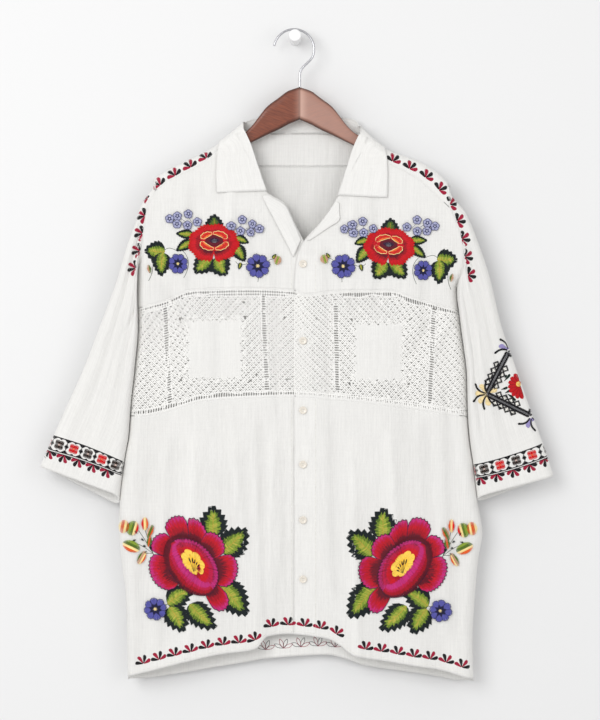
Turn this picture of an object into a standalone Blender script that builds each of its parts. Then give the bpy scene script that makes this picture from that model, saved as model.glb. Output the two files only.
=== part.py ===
"""Embroidered folk shirt on a wooden hanger that hangs from a wall peg.

The tables are in millimetres and the objects in metres, with +Z up and +X to the
right of a viewer who faces the wall. The wall is the plane y = 0, the front of the
shirt faces -Y, and the origin is the centre of the peg's back face.
"left" and "right" are the viewer's. Every cloth piece is set out as its inner face and
gets its wall on the outside.
"""

import math

import bmesh
import bpy
from mathutils import Vector

MM = 0.001

# Cloth
WALL = 1.2  # thickness of one layer
SEAM = 0.3  # gap between two pieces at a seam
ARMHOLE_GAP = 1.6  # a little more where two curved edges meet
YOKE_GAP = 1.8
BACK_SEAM_GAP = 0.8
ARMHOLE_BLEND = 0.12  # share of a sleeve's length that takes the armhole's form
LEAF_BULGE = 0.6  # extra height of the collar's roll over a shoulder
UNDERARM_GAP = 3.0  # added where sleeve and body turn away from each other
STAND_LIFT = 2 * WALL + SEAM  # fold side of the collar's stand, which laps the neck
LEAF_LIFT = STAND_LIFT + 0.8  # inner face of the collar's leaf
LAPEL_LIFT = 2.2
LAPEL_WALL = 1.0
UNDER_LAP = 1.8  # the left front lies this much behind the right one
PLACKET = 27.0  # overlap of the two fronts

# Where the garment's layers lie from the wall
SHOULDER_Y = -30.0  # mid plane at the middle of the shoulders
ARM_FORWARD = 0.06  # the hanger's arms come forward by this share of their length
FORWARD_FROM = -220.0  # above this height the cloth follows the arms wholly
FORWARD_TO = -420.0  # below this height it hangs flat
RIDGE_ROUND = 14.0  # half the gap between front and back at the shoulders
UNDERARM_FADE = 40.0  # height over which an armhole closes to the side seam
SIDE_TURNS = (0.0, 20.0, 42.0, 66.0, 90.0)  # degrees, round a side seam

# Neck
NECK_LEFT = -85.0
NECK_RIGHT = 106.0
NECK_CENTRE = 10.5
RIGHT_DROP = 1.03  # the collar's right half hangs a little lower

# Peg, hook and hanger
PEG_ROUND = 9.0
PEG_LENGTH = 46.0
PEG_EDGE = 1.5
HANGER_X = 6.75
HANGER_Y = -30.0
HANGER_THICK = 12.0
HOOK_WIRE = 3.6
HOOK_CENTRE = (-1.5, -19.0)
HOOK_TIP_TURN = 168.0  # degrees, anticlockwise from +X
HOOK_END_TURN = -14.0
HOOK_STEPS = 18
HOOK_BEND_STEPS = 8
HOOK_LEAVE = 14.0  # pull of the bend where the circle ends
HOOK_ARRIVE = 15.0  # and where the straight stem begins
HOOK_STEM = (7.25, -58.0)
HOOK_SEAT = 0.5  # gap between the stem's end and the wood
PEG_STEPS = 24

# Buttons
BUTTON_ROUND = 5.75
BUTTON_THICK = 2.4
BUTTON_X = 12.0
BUTTON_STEPS = 12
BUTTON_HEIGHTS = (-342.0, -457.0, -561.0, -642.0, -725.0, -814.0)

# Lace ladders: each opening stands for two of the finest real ones
LACE_PITCH = 3.6
LACE_ROWS = 44
LACE_WIDTH = 240.0  # of one front, from its side seam to its opening
LACE_WIDE_CELL = 4  # plain lace takes this many columns of the lattice at a time
LACE_GAP = 1.4  # the lace's finer edge keeps this from the seam line
LADDER_TOP = (1, 3)  # rows between which the upper ladder's openings lie
LADDER_BOTTOM = (41, 43)
LACE_BANDS = (3, 11, 18, 26, 33, 41)
RUNG_STEP = 3  # an upright ladder has one opening in this many rows
# Where the upper and the lower ladder begin and end, in columns from the side seam and
# in columns before the front's opening
LEFT_LADDERS = ((6, 14), (6, 10))
RIGHT_LADDERS = ((6, 18), (6, 4))
LEFT_UPRIGHTS = (12, 54)
RIGHT_UPRIGHTS = (12, 52)

# Cells of the plain panels
UPPER_CELLS = (11, 8)
LOWER_CELLS = (13, 13)
BACK_COLUMNS = 13
YOKE_CELLS = 8
YOKE_TURNS = (66.0, 42.0, 14.0, -14.0, -42.0, -66.0, -90.0)  # degrees from the top

# Depth of the body: height z, mid plane y, half of the gap inside
DEPTHS = (
    (-130.0, SHOULDER_Y, RIDGE_ROUND),
    (-230.0, SHOULDER_Y, RIDGE_ROUND),
    (-330.0, -28.5, 15.0),
    (-480.0, -27.0, 16.5),
    (-700.0, -28.5, 17.0),
    (-860.0, -31.5, 17.0),
    (-970.0, -35.0, 17.0),
)

# Outline of the body down each side: height z, x. The first rows are the armhole.
LEFT_EDGE = (
    (-214.0, -211.0),
    (-234.0, -209.0),
    (-249.0, -217.0),
    (-272.0, -222.0),
    (-301.0, -226.5),
    (-331.0, -231.0),
    (-349.0, -236.0),
    (-396.0, -237.0),
    (-435.0, -236.0),
    (-499.0, -241.0),
    (-555.0, -247.0),
    (-598.0, -250.0),
    (-633.0, -256.0),
    (-703.0, -264.0),
    (-736.0, -265.0),
    (-798.0, -260.0),
    (-831.0, -255.0),
    (-877.0, -253.0),
    (-960.0, -251.0),
)
RIGHT_EDGE = (
    (-223.0, 230.0),
    (-245.0, 230.5),
    (-262.0, 233.5),
    (-280.0, 240.0),
    (-300.0, 247.0),
    (-318.0, 250.0),
    (-336.0, 250.5),
    (-364.0, 247.0),
    (-379.0, 243.0),
    (-424.0, 247.5),
    (-465.0, 253.0),
    (-507.0, 258.0),
    (-564.0, 259.5),
    (-604.0, 262.5),
    (-643.0, 268.0),
    (-700.0, 275.0),
    (-744.0, 282.0),
    (-783.0, 276.0),
    (-843.0, 270.5),
    (-903.0, 267.0),
    (-961.0, 268.0),
)
# Rows of the back panel as shares of its height, closer together at the armholes
BACK_ROWS = (0.0, 0.03, 0.06, 0.09, 0.125, 0.158, 0.19, 0.24, 0.3, 0.37)
BACK_ROWS += (0.45, 0.53, 0.61, 0.69, 0.77, 0.85, 0.93, 1.0)
LEFT_UNDERARM = -349.0
RIGHT_UNDERARM = -379.0

# Lines across the body: x, height z
RIDGE = (
    (-211.0, -214.0),
    (-190.0, -201.0),
    (-160.0, -186.0),
    (-135.0, -174.0),
    (-113.0, -160.0),
    (-84.0, -141.0),
    (-60.0, -131.0),
    (10.5, -130.0),
    (81.0, -134.0),
    (105.0, -148.0),
    (139.0, -171.0),
    (180.0, -186.0),
    (210.0, -203.0),
    (231.0, -223.0),
)
YOKE_FRONT = (
    (-209.0, -234.0),
    (-194.0, -223.0),
    (-171.0, -209.0),
    (-146.0, -198.0),
    (-117.0, -173.0),
    (-87.0, -156.0),
    (108.0, -164.0),
    (139.0, -190.0),
    (180.0, -213.0),
    (202.0, -231.0),
    (217.0, -246.0),
    (231.0, -259.0),
)
YOKE_BACK = (
    (-220.0, -256.0),
    (-150.0, -228.0),
    (-100.0, -205.0),
    (-60.0, -194.0),
    (80.0, -194.0),
    (120.0, -208.0),
    (170.0, -232.0),
    (238.0, -258.0),
)
LACE_TOP = (
    (-238.0, -409.0),
    (-195.0, -397.0),
    (-153.0, -381.0),
    (-65.0, -379.0),
    (0.0, -382.0),
    (16.0, -388.0),
    (65.0, -383.0),
    (144.0, -382.0),
    (172.0, -391.0),
    (247.0, -413.0),
)
LACE_BOTTOM = (
    (-250.0, -570.0),
    (-226.0, -569.0),
    (-199.0, -564.0),
    (-133.0, -546.0),
    (-69.0, -542.0),
    (-3.0, -540.0),
    (65.0, -545.0),
    (156.0, -555.0),
    (260.0, -571.0),
)
HEM_FRONT = (
    (-251.0, -960.0),
    (-217.0, -951.0),
    (-171.0, -939.0),
    (-123.0, -928.0),
    (-59.0, -918.0),
    (-42.0, -900.0),
    (-13.0, -897.0),
    (49.0, -904.0),
    (67.0, -913.0),
    (88.0, -928.0),
    (153.0, -939.0),
    (219.0, -950.0),
    (268.0, -964.0),
)
HEM_BACK = (
    (-251.0, -963.0),
    (-214.0, -959.0),
    (-136.0, -937.0),
    (-91.0, -936.0),
    (-30.0, -928.0),
    (49.0, -925.0),
    (88.0, -934.0),
    (153.0, -948.0),
    (225.0, -960.0),
    (268.0, -966.0),
)

# Inner edge of each front, from the neck down the opening: height z, x
LEFT_OPENING = (
    (-156.0, -87.0),
    (-170.0, -77.0),
    (-199.0, -61.0),
    (-233.0, -44.5),
    (-253.0, -14.0),
    (-280.0, -1.0),
    (-307.0, 13.0),
    (-322.0, 22.0),
    (-340.0, -1.5 + PLACKET),
    (-970.0, -1.5 + PLACKET),
)
RIGHT_OPENING = (
    (-164.0, 108.0),
    (-175.0, 99.0),
    (-205.0, 84.0),
    (-241.0, 64.5),
    (-249.0, 60.0),
    (-280.0, 38.0),
    (-309.0, 12.6),
    (-328.0, 4.0),
    (-349.0, 0.5),
    (-385.0, -1.5),
    (-970.0, -1.5),
)

# Folds of the front, as valleys towards the wall:
# x and z of the upper end, x and z of the lower end, half width, depth
VALLEYS = (
    (-196.0, -330.0, -214.0, -640.0, 22.0, 5.0),
    (-214.0, -620.0, -233.0, -930.0, 15.0, 6.0),
    (-120.0, -330.0, -112.0, -560.0, 20.0, 3.5),
    (-110.0, -600.0, -96.0, -930.0, 26.0, 5.0),
    (160.0, -400.0, 176.0, -720.0, 20.0, 5.0),
    (110.0, -660.0, 128.0, -940.0, 24.0, 5.0),
    (205.0, -760.0, 214.0, -950.0, 18.0, 5.0),
)
VALLEY_FADE = 90.0  # a valley grows to its depth over this height at both ends
# The recess in the middle of the hem: height z, middle x, half width, depth
RECESS = (
    (-690.0, 7.0, 24.0, 0.0),
    (-760.0, 8.0, 30.0, 3.0),
    (-860.0, 10.0, 46.0, 9.0),
    (-930.0, 12.0, 62.0, 13.0),
    (-970.0, 12.0, 66.0, 13.0),
)
# Folds of the back, as valleys away from the wall, in the same columns
BACK_VALLEYS = (
    (-130.0, -300.0, -142.0, -820.0, 30.0, 4.0),
    (-30.0, -260.0, -22.0, -930.0, 26.0, 5.0),
    (70.0, -420.0, 78.0, -940.0, 24.0, 5.0),
    (170.0, -300.0, 160.0, -860.0, 28.0, 4.0),
)

# Sleeves: share of the length, then x and z of the outer and of the inner edge,
# y of the mid plane and half of the gap inside
LEFT_SLEEVE = (
    (0.00, -212.0, -216.0, -238.7, -348.0, -41.5, 14.0),
    (0.07, -226.5, -241.0, -241.5, -366.0, -41.0, 14.0),
    (0.15, -238.0, -276.0, -241.8, -390.0, -40.5, 14.0),
    (0.25, -253.0, -318.0, -241.8, -425.0, -40.0, 14.0),
    (0.35, -267.0, -366.0, -242.5, -465.0, -39.0, 14.0),
    (0.50, -292.0, -433.0, -248.0, -520.0, -37.5, 13.5),
    (0.65, -318.0, -500.0, -254.0, -575.0, -36.0, 13.0),
    (0.80, -346.0, -562.0, -258.5, -625.0, -35.0, 12.5),
    (0.90, -365.5, -606.0, -264.0, -662.0, -34.5, 12.0),
    (1.00, -383.0, -645.5, -270.0, -697.0, -34.0, 12.0),
)
RIGHT_SLEEVE = (
    (0.00, 232.0, -225.0, 246.6, -377.0, -42.0, 14.0),
    (0.07, 248.0, -250.0, 248.6, -396.0, -41.5, 14.0),
    (0.15, 262.0, -278.0, 252.0, -416.0, -41.0, 14.0),
    (0.25, 277.0, -316.0, 256.5, -446.0, -40.0, 14.0),
    (0.35, 292.0, -362.0, 261.2, -485.0, -39.0, 14.0),
    (0.50, 309.0, -432.0, 264.6, -545.0, -37.5, 13.5),
    (0.65, 331.0, -496.0, 267.4, -592.0, -36.0, 13.0),
    (0.80, 356.0, -567.0, 271.0, -630.0, -35.0, 12.5),
    (0.90, 371.0, -607.0, 275.5, -660.0, -34.5, 12.0),
    (1.00, 388.5, -660.0, 283.0, -695.0, -34.0, 12.0),
)
SLEEVE_RINGS = (0.0, 0.035, 0.09, 0.17, 0.27, 0.38, 0.5, 0.62, 0.75, 0.88, 1.0)
SLEEVE_ADVANCE = 40.0  # how fast a sleeve leaves the curve of its armhole
SLEEVE_ACROSS = 5  # cells across the flat part of a sleeve
LEFT_CUFF_DIP = 8.5  # half of how far the back of the cuff hangs below its front
RIGHT_CUFF_DIP = 5.0
# Folds across a sleeve: share of the length, share across, half lengths, depth
SLEEVE_FOLDS = (
    (0.20, 0.35, 0.16, 0.18, 3.0),
    (0.45, 0.70, 0.20, 0.16, 3.0),
    (0.70, 0.40, 0.20, 0.15, 2.5),
)

# Collar, left half. Fall in front and behind: x and z of the roll, x and z of the edge
COLLAR_FRONT = (
    (-43.0, -233.0, -117.0, -236.5),
    (-51.0, -210.0, -117.5, -220.0),
    (-59.0, -187.0, -117.5, -203.0),
    (-66.0, -166.0, -117.0, -188.0),
    (-73.0, -150.0, -116.0, -177.0),
)
# Over the shoulder: turn in degrees from the top, x of the roll and of the edge,
# and how far the roll rises above the cloth that it stands on
COLLAR_TURN = (
    (60.0, -77.0, -115.0, 2.0),
    (30.0, -78.0, -114.0, 4.0),
    (0.0, -78.5, -113.0, 6.0),
    (-30.0, -78.0, -111.0, 9.0),
    (-60.0, -76.0, -109.0, 14.0),
)
COLLAR_BACK = (
    (-70.0, -126.0, -102.0, -171.0),
    (-52.0, -122.0, -72.0, -174.0),
    (-30.0, -120.0, -36.0, -174.0),
    (-10.0, -119.0, -12.0, -174.0),
)
COLLAR_MIDDLE = (10.5, -119.0, 10.5, -174.0)
LEAF_SHARES = (0.12, 0.4, 0.7, 1.0)

# Lapels: x and z of the roll, x and z of the edge
LEFT_LAPEL = (
    (-42.0, -238.5, -49.0, -241.0),
    (-28.0, -246.0, -41.0, -257.0),
    (-14.0, -255.5, -31.0, -276.0),
    (-6.0, -271.0, -21.0, -296.0),
    (2.0, -289.0, -11.0, -315.0),
    (9.0, -306.0, -2.5, -332.0),
)
RIGHT_LAPEL = (
    (61.0, -249.0, 66.0, -251.0),
    (53.5, -260.0, 66.0, -264.0),
    (46.0, -271.0, 66.0, -277.0),
    (36.0, -284.0, 50.0, -288.0),
    (26.0, -297.0, 35.0, -298.0),
    (17.0, -306.5, 21.0, -307.0),
)
LAPEL_CELLS = 3

# Half of the hanger: distance from its middle, z of its upper and of its lower edge
HANGER = (
    (0.0, -76.0, -124.5),
    (17.0, -82.0, -132.0),
    (32.0, -93.0, -140.0),
    (49.0, -106.0, -148.0),
    (61.0, -121.0, -154.0),
    (70.0, -133.0, -158.5),
    (83.0, -145.5, -165.0),
    (100.0, -155.1, -173.5),
    (125.0, -171.05, -188.0),
    (150.0, -184.05, -201.5),
    (180.0, -196.55, -216.0),
    (203.0, -209.05, -229.0),
    (209.0, -214.0, -230.0),
)
HANGER_CORNER = 2.2

WHITE = (0.87, 0.86, 0.82)
COLOURS = {
    "cotton": (WHITE, 0.9, 0.0),
    "lace": ((0.84, 0.83, 0.79), 0.9, 0.0),
    "shell": ((0.86, 0.82, 0.74), 0.3, 0.0),
    "lacquer": ((0.32, 0.08, 0.03), 0.3, 0.0),
    "steel": ((0.6, 0.6, 0.6), 0.25, 1.0),
    "paint": ((0.9, 0.9, 0.9), 0.5, 0.0),
}


def clear_scene():
    for thing in list(bpy.data.objects):
        bpy.data.objects.remove(thing, do_unlink=True)


def read(table, at, column=1):
    """A column of a table at a place between its rows, along a smooth curve."""
    rows = sorted(table)
    if at <= rows[0][0]:
        return rows[0][column]
    if at >= rows[-1][0]:
        return rows[-1][column]
    k = max(i for i in range(len(rows) - 1) if rows[i][0] <= at)
    width = rows[k + 1][0] - rows[k][0]
    share = (at - rows[k][0]) / width
    start, end = rows[k][column], rows[k + 1][column]
    before = row_slope(rows, k, column) * width
    after = row_slope(rows, k + 1, column) * width
    square, cube = share**2, share**3
    return (
        start * (2 * cube - 3 * square + 1)
        + before * (cube - 2 * square + share)
        + end * (3 * square - 2 * cube)
        + after * (cube - square)
    )


def row_slope(rows, k, column):
    """Slope at a row: none at a peak, or else the gentler mean of both sides."""
    if k == 0 or k == len(rows) - 1:
        near = 1 if k == 0 else k - 1
        return (rows[near][column] - rows[k][column]) / (rows[near][0] - rows[k][0])
    left = (rows[k][column] - rows[k - 1][column]) / (rows[k][0] - rows[k - 1][0])
    right = (rows[k + 1][column] - rows[k][column]) / (rows[k + 1][0] - rows[k][0])
    if left * right <= 0:
        return 0.0
    return 2 * left * right / (left + right)


def mix(a, b, share):
    return a + (b - a) * share


def ease(value):
    """0 below 0, 1 above 1 and a soft step between."""
    value = min(1.0, max(0.0, value))
    return value * value * (3 - 2 * value)


def round_share(distance, radius):
    """How far out a half round stands at a distance in from its tip."""
    distance = min(radius, max(0.0, distance))
    return math.sqrt(1 - ((radius - distance) / radius) ** 2)


def left_edge(z):
    return read(LEFT_EDGE, z) + WALL


def right_edge(z):
    return read(RIGHT_EDGE, z) - WALL


def ridge(x):
    return read(RIDGE, x) - WALL


def mid_y(x, z):
    follow = ease((z - FORWARD_TO) / (FORWARD_FROM - FORWARD_TO))
    return read(DEPTHS, z) - ARM_FORWARD * abs(x - HANGER_X) * follow


def half_gap(z):
    return read(DEPTHS, z, 2)


def side_share(x, z):
    """0 at a side seam, growing to 1 over the rounded side of the body."""
    gap = half_gap(z)
    open_left = gap * ease((z - LEFT_UNDERARM) / UNDERARM_FADE)
    open_right = gap * ease((z - RIGHT_UNDERARM) / UNDERARM_FADE)
    from_left = x - left_edge(z) + open_left
    from_right = right_edge(z) - x + open_right
    return round_share(min(from_left, from_right), gap)


def valley_depth(table, x, z):
    depth = 0.0
    for top_x, top_z, low_x, low_z, half, deep in table:
        along = (top_z - z) / (top_z - low_z)
        centre = mix(top_x, low_x, along)
        ends = ease((top_z - z) / VALLEY_FADE) * ease((z - low_z) / VALLEY_FADE + 1)
        depth += deep * ends * math.exp(-(((x - centre) / half) ** 2))
    return depth


def recess_depth(x, z):
    if z > RECESS[0][0]:
        return 0.0
    middle, half, deep = (read(RECESS, z, column) for column in (1, 2, 3))
    return deep * math.exp(-(abs((x - middle) / half) ** 5))


def body_y(x, z, side, lift=0.0):
    """y of the front (side -1) or back (side 1), lifted off its inner face."""
    gap = half_gap(z) + lift
    share = side_share(x, z) * round_share(ridge(x) + lift - z, gap)
    if side < 0:
        fold = valley_depth(VALLEYS, x, z) + recess_depth(x, z)
    else:
        fold = valley_depth(BACK_VALLEYS, x, z)
    return mid_y(x, z) + side * (SEAM / 2 + share * (gap - fold))


def side_steps():
    """Distances in from a side seam at which the columns of a panel lie."""
    return [half_gap(-500.0) * (1 - math.cos(math.radians(turn))) for turn in SIDE_TURNS]


def place(start, end, share, shift, top, bottom, down, gap=SEAM / 2):
    """x and z of a panel's point: start and end give x at a height, top and bottom
    give z at an x. share and shift place it across, down places it along, and gap
    is kept from both lines."""
    z = mix(-250.0, -700.0, down)
    x = 0.0
    for _ in range(5):
        x = mix(start(z), end(z), share) + shift
        z = mix(read(top, x) - gap, read(bottom, x) + gap, down)
    return x, z


def even(count):
    return [k / count for k in range(count + 1)]


def columns(count, from_left, from_right):
    """(share, shift) of each column: steps round a side seam, then even ones."""
    steps = side_steps()
    middle = [(share, 0.0) for share in even(count)]
    first, last = [], []
    if from_left:
        first = [(0.0, step) for step in steps]
        middle = [(s, steps[-1] * (1 - s)) for s, _ in middle][1:]
    if from_right:
        last = [(1.0, -step) for step in reversed(steps)]
        middle = [(s, shift - steps[-1] * s) for s, shift in middle][:-1]
    return first + middle + last


def new_object(name, mesh, colour, group):
    thing = bpy.data.objects.new(name, mesh)
    group.objects.link(thing)
    thing.data.materials.append(finish(name, colour))
    mesh.shade_smooth()
    mesh.set_sharp_from_angle(angle=math.radians(40))
    return thing


def finish(name, colour):
    """The piece's own material."""
    tint, rough, metal = COLOURS[colour]
    material = bpy.data.materials.new(name)
    material.use_nodes = True
    shader = material.node_tree.nodes["Principled BSDF"]
    shader.inputs["Base Color"].default_value = (*tint, 1.0)
    shader.inputs["Roughness"].default_value = rough
    shader.inputs["Metallic"].default_value = metal
    return material


def thicken(thing, wall):
    solid = thing.modifiers.new("wall", "SOLIDIFY")
    solid.thickness = wall * MM
    solid.offset = 1.0


def sheet(name, points, faces, colour, group, wall=WALL):
    """A cloth piece from points in millimetres and faces that look outwards."""
    mesh = bpy.data.meshes.new(name)
    mesh.from_pydata([Vector(point) * MM for point in points], [], faces)
    mesh.validate()
    thing = new_object(name, mesh, colour, group)
    thicken(thing, wall)
    return thing


def grid_faces(rows, across, flip=False, wrap=False, skip=()):
    """Quads of a grid of points, in rows that run down, seen from outside."""
    faces = []
    for j in range(rows - 1):
        for i in range(across if wrap else across - 1):
            if (i, j) in skip:
                continue
            after = (i + 1) % across
            quad = [
                j * across + i,
                (j + 1) * across + i,
                (j + 1) * across + after,
                j * across + after,
            ]
            faces.append(quad[::-1] if flip else quad)
    return faces


def front_panel(name, side, top, bottom, cells, group):
    """One plain piece of a front, between two lines across the body."""
    count, rows = cells
    if side == "left":
        start, end, set_back = left_edge, left_opening, left_set_back
        across = columns(count, True, False)
    else:
        start, end, set_back = right_opening, right_edge, no_set_back
        across = columns(count, False, True)
    points = []
    for down in even(rows):
        for share, shift in across:
            x, z = place(start, end, share, shift, top, bottom, down)
            points.append((x, body_y(x, z, -1) + set_back(x), z))
    faces = grid_faces(rows + 1, len(across))
    return sheet(name, points, faces, "cotton", group)


def left_opening(z):
    return read(LEFT_OPENING, z)


def right_opening(z):
    return read(RIGHT_OPENING, z)


def left_set_back(x):
    return UNDER_LAP * ease((x + 70.0) / 55.0)


def no_set_back(_):
    return 0.0


def lace_cells(count, cuts, uprights):
    """Rectangles of the lace in its fine lattice, without its openings.

    cuts are the stretches of the upper and the lower ladder, uprights the first
    columns of the ladders that run down.
    """
    turns = len(SIDE_TURNS) - 1
    marks = {*range(turns + 1), *range(turns, count, LACE_WIDE_CELL), count}
    for first in uprights:
        marks -= {first - 1, first + 1, first + 3}
        marks |= {first, first + 2}
    marks = sorted(marks)
    spans = list(zip(marks, marks[1:]))
    cells = [(a, b, 0, LADDER_TOP[0]) for a, b in spans]
    cells += [(a, b, LADDER_BOTTOM[1], LACE_ROWS) for a, b in spans]
    for (low, high), (begin, short) in zip((LADDER_TOP, LADDER_BOTTOM), cuts):
        for a, b in spans:
            if a >= begin and b <= count - short:
                cells += [(i, i + 1, low, high) for i in range(a, b) if i % 2 == 0]
            else:
                cells.append((a, b, low, high))
    for low, high in zip(LACE_BANDS, LACE_BANDS[1:]):
        for a, b in spans:
            if a not in uprights:
                cells.append((a, b, low, high))
    for first in uprights:
        j = LACE_BANDS[0]
        while j < LACE_BANDS[-1]:
            bar = min(j + RUNG_STEP - 1, LACE_BANDS[-1])
            cells.append((first, first + 2, j, bar))
            j += RUNG_STEP
    return cells


def cell_outline(cell, corners):
    """The corners that lie on a cell's border, down, right, up and left."""
    a, b, low, high = cell
    walk = [(a, j) for j in range(low, high)]
    walk += [(i, high) for i in range(a, b)]
    walk += [(b, j) for j in range(high, low, -1)]
    walk += [(i, low) for i in range(b, a, -1)]
    return [spot for spot in walk if spot in corners]


def lace_panel(name, side, cuts, uprights, group):
    """The lace of one front, with the openings of its ladders cut through."""
    turns = len(SIDE_TURNS) - 1
    steps = side_steps()
    count = turns + 2 * round(LACE_WIDTH / LACE_PITCH / 2)
    cells = lace_cells(count, cuts, uprights)
    corners = {(i, j) for a, b, low, high in cells for i in (a, b) for j in (low, high)}
    order = {spot: k for k, spot in enumerate(sorted(corners))}
    points = []
    for i, j in sorted(corners):
        if i <= turns:
            share, shift = 0.0, steps[i]
        else:
            share = (i - turns) / (count - turns)
            shift = steps[-1] * (1 - share)
        down = j / LACE_ROWS
        lines = (LACE_TOP, LACE_BOTTOM, down, LACE_GAP)
        if side == "left":
            x, z = place(left_edge, left_opening, share, shift, *lines)
            points.append((x, body_y(x, z, -1) + left_set_back(x), z))
        else:
            x, z = place(right_edge, right_opening, share, -shift, *lines)
            points.append((x, body_y(x, z, -1), z))
    faces = []
    for cell in cells:
        face = [order[spot] for spot in cell_outline(cell, corners)]
        faces.append(face if side == "left" else face[::-1])
    return sheet(name, points, faces, "lace", group)


def back_panel(group):
    across = columns(BACK_COLUMNS, True, True)
    points = []
    for down in BACK_ROWS:
        for share, shift in across:
            x, z = place(left_edge, right_edge, share, shift, YOKE_BACK, HEM_BACK, down)
            points.append((x, body_y(x, z, 1), z))
    faces = grid_faces(len(BACK_ROWS), len(across), flip=True)
    return sheet("back_panel", points, faces, "cotton", group)


def yoke(group):
    """From the front seams over the shoulders, and down the back to its seam."""
    count = YOKE_CELLS
    over = len(YOKE_TURNS)
    stops = [("end", k / count) for k in range(count)]
    stops += [("neck", k / count) for k in range(count + 1)]
    stops += [("far", k / count) for k in range(1, count + 1)]
    points = []
    for row in range(over + 3):
        for kind, share in stops:
            points.append(yoke_point(kind, share, row))
    open_cells = {(i, j) for i in range(count, 2 * count) for j in range(over)}
    faces = grid_faces(over + 3, len(stops), skip=open_cells)
    return sheet("shoulder_yoke", points, faces, "cotton", group)


def yoke_point(kind, share, row):
    """A point of the yoke: row 0 is the front seam, then its turns over the shoulder,
    and the last two rows go down the back."""
    turns = YOKE_TURNS
    x, y, z = 0.0, 0.0, -230.0
    for _ in range(5):
        if kind == "end":
            x = mix(left_edge(z), NECK_LEFT, share)
        elif kind == "neck":
            x = mix(NECK_LEFT, NECK_RIGHT, share)
        else:
            x = mix(NECK_RIGHT, right_edge(z), share)
        low = read(YOKE_BACK, x) + BACK_SEAM_GAP
        if row == 0:
            z = read(YOKE_FRONT, x) + YOKE_GAP
            y = body_y(x, z, -1)
        elif row <= len(turns):
            turn = math.radians(turns[row - 1])
            z = ridge(x) - RIDGE_ROUND * (1 - math.cos(turn))
            y = mid_y(x, z) - RIDGE_ROUND * math.sin(turn)
        else:
            top = ridge(x) - RIDGE_ROUND
            z = mix(top, low, (row - len(turns)) / 2)
            y = body_y(x, z, 1)
    return x, y, z


def sleeve_point(table, edge, outward, place_along, place_across, depth):
    """A point of a sleeve's inner face. place_across runs from the outer edge to the
    inner one, and depth is -1 on its front, 1 on its back, 0 at either edge."""
    outer_x, outer_z, inner_x, inner_z, centre, gap = (
        read(table, place_along, column) for column in range(1, 7)
    )
    outer_x -= outward * WALL
    x = mix(outer_x, inner_x, place_across)
    z = mix(outer_z, inner_z, place_across)
    y = centre + gap * depth
    fold = 0.0
    for along, across, half_along, half_across, deep in SLEEVE_FOLDS:
        reach = ((place_along - along) / half_along) ** 2
        reach += ((place_across - across) / half_across) ** 2
        fold += deep * math.exp(-reach)
    y -= fold * depth
    near = 1 - ease(place_along / ARMHOLE_BLEND)
    low = table[0][4]
    closing = 1 - ease((z - low) / UNDERARM_FADE)
    seam_x = edge(z) + outward * (ARMHOLE_GAP + UNDERARM_GAP * closing)
    x = mix(x, seam_x, near)
    clear = edge(z) + outward * (ARMHOLE_GAP + SLEEVE_ADVANCE * place_along * (1 - closing))
    if (x - clear) * outward < 0:
        x = clear
    side = -1 if depth < 0 else 1
    seam_y = body_y(edge(z), z, side)
    if abs(depth) < 1e-6:
        seam_y = mid_y(x, z)
    return x, mix(y, seam_y, near), z


def sleeve(name, table, edge, outward, dip, group):
    turns = [math.radians(turn) for turn in SIDE_TURNS]
    points = []
    for along in SLEEVE_RINGS:
        outer_x, outer_z, inner_x, inner_z = (read(table, along, c) for c in range(1, 5))
        gap = read(table, along, 6)
        width = math.dist((outer_x, outer_z), (inner_x, inner_z))
        bend = gap / width
        rise = [(bend * (1 - math.cos(turn)), math.sin(turn)) for turn in turns]
        flat = [(mix(bend, 1 - bend, k / SLEEVE_ACROSS), 1.0) for k in range(1, SLEEVE_ACROSS)]
        fall = [(1 - across, depth) for across, depth in reversed(rise)]
        half = rise + flat + fall
        ring = [(across, -depth) for across, depth in half]
        ring += [(across, depth) for across, depth in reversed(half[1:-1])]
        for across, depth in ring:
            x, y, z = sleeve_point(table, edge, outward, along, across, depth)
            z -= dip * along**2 * across * depth
            points.append((x, y, z))
    faces = grid_faces(len(SLEEVE_RINGS), len(ring), flip=outward > 0, wrap=True)
    return sheet(name, points, faces, "cotton", group)


def leaf_y(x, z, side, lift):
    return mid_y(x, z) + side * (half_gap(z) + lift)


def fall_station(row, side, opening):
    """Points of the collar across its width, where it falls in front or behind."""
    roll_x, roll_z, edge_x, edge_z = row
    length = math.dist((roll_x, roll_z), (edge_x, edge_z))
    out_x = (roll_x - edge_x) / length
    out_z = (roll_z - edge_z) / length
    if side < 0:
        seam_x = opening(roll_z)
        seam = (seam_x, leaf_y(seam_x, roll_z, side, STAND_LIFT), roll_z)
    else:
        seam_z = ridge(roll_x) - RIDGE_ROUND
        seam = (roll_x, leaf_y(roll_x, seam_z, side, STAND_LIFT), seam_z)
    points = [seam, (roll_x, leaf_y(roll_x, roll_z, side, STAND_LIFT), roll_z)]
    apex_x, apex_z = roll_x + out_x, roll_z + out_z
    apex_lift = (STAND_LIFT + LEAF_LIFT) / 2
    points.append((apex_x, leaf_y(apex_x, apex_z, side, apex_lift), apex_z))
    points.append((roll_x, leaf_y(roll_x, roll_z, side, LEAF_LIFT), roll_z))
    for share in LEAF_SHARES:
        x = mix(roll_x, edge_x, share)
        z = mix(roll_z, edge_z, share)
        points.append((x, leaf_y(x, z, side, LEAF_LIFT), z))
    return points


def turn_point(x, turn, lift, rise):
    radius = RIDGE_ROUND + lift
    z = ridge(x) + lift - radius * (1 - math.cos(turn)) + rise
    return x, mid_y(x, z) - radius * math.sin(turn), z


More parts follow.
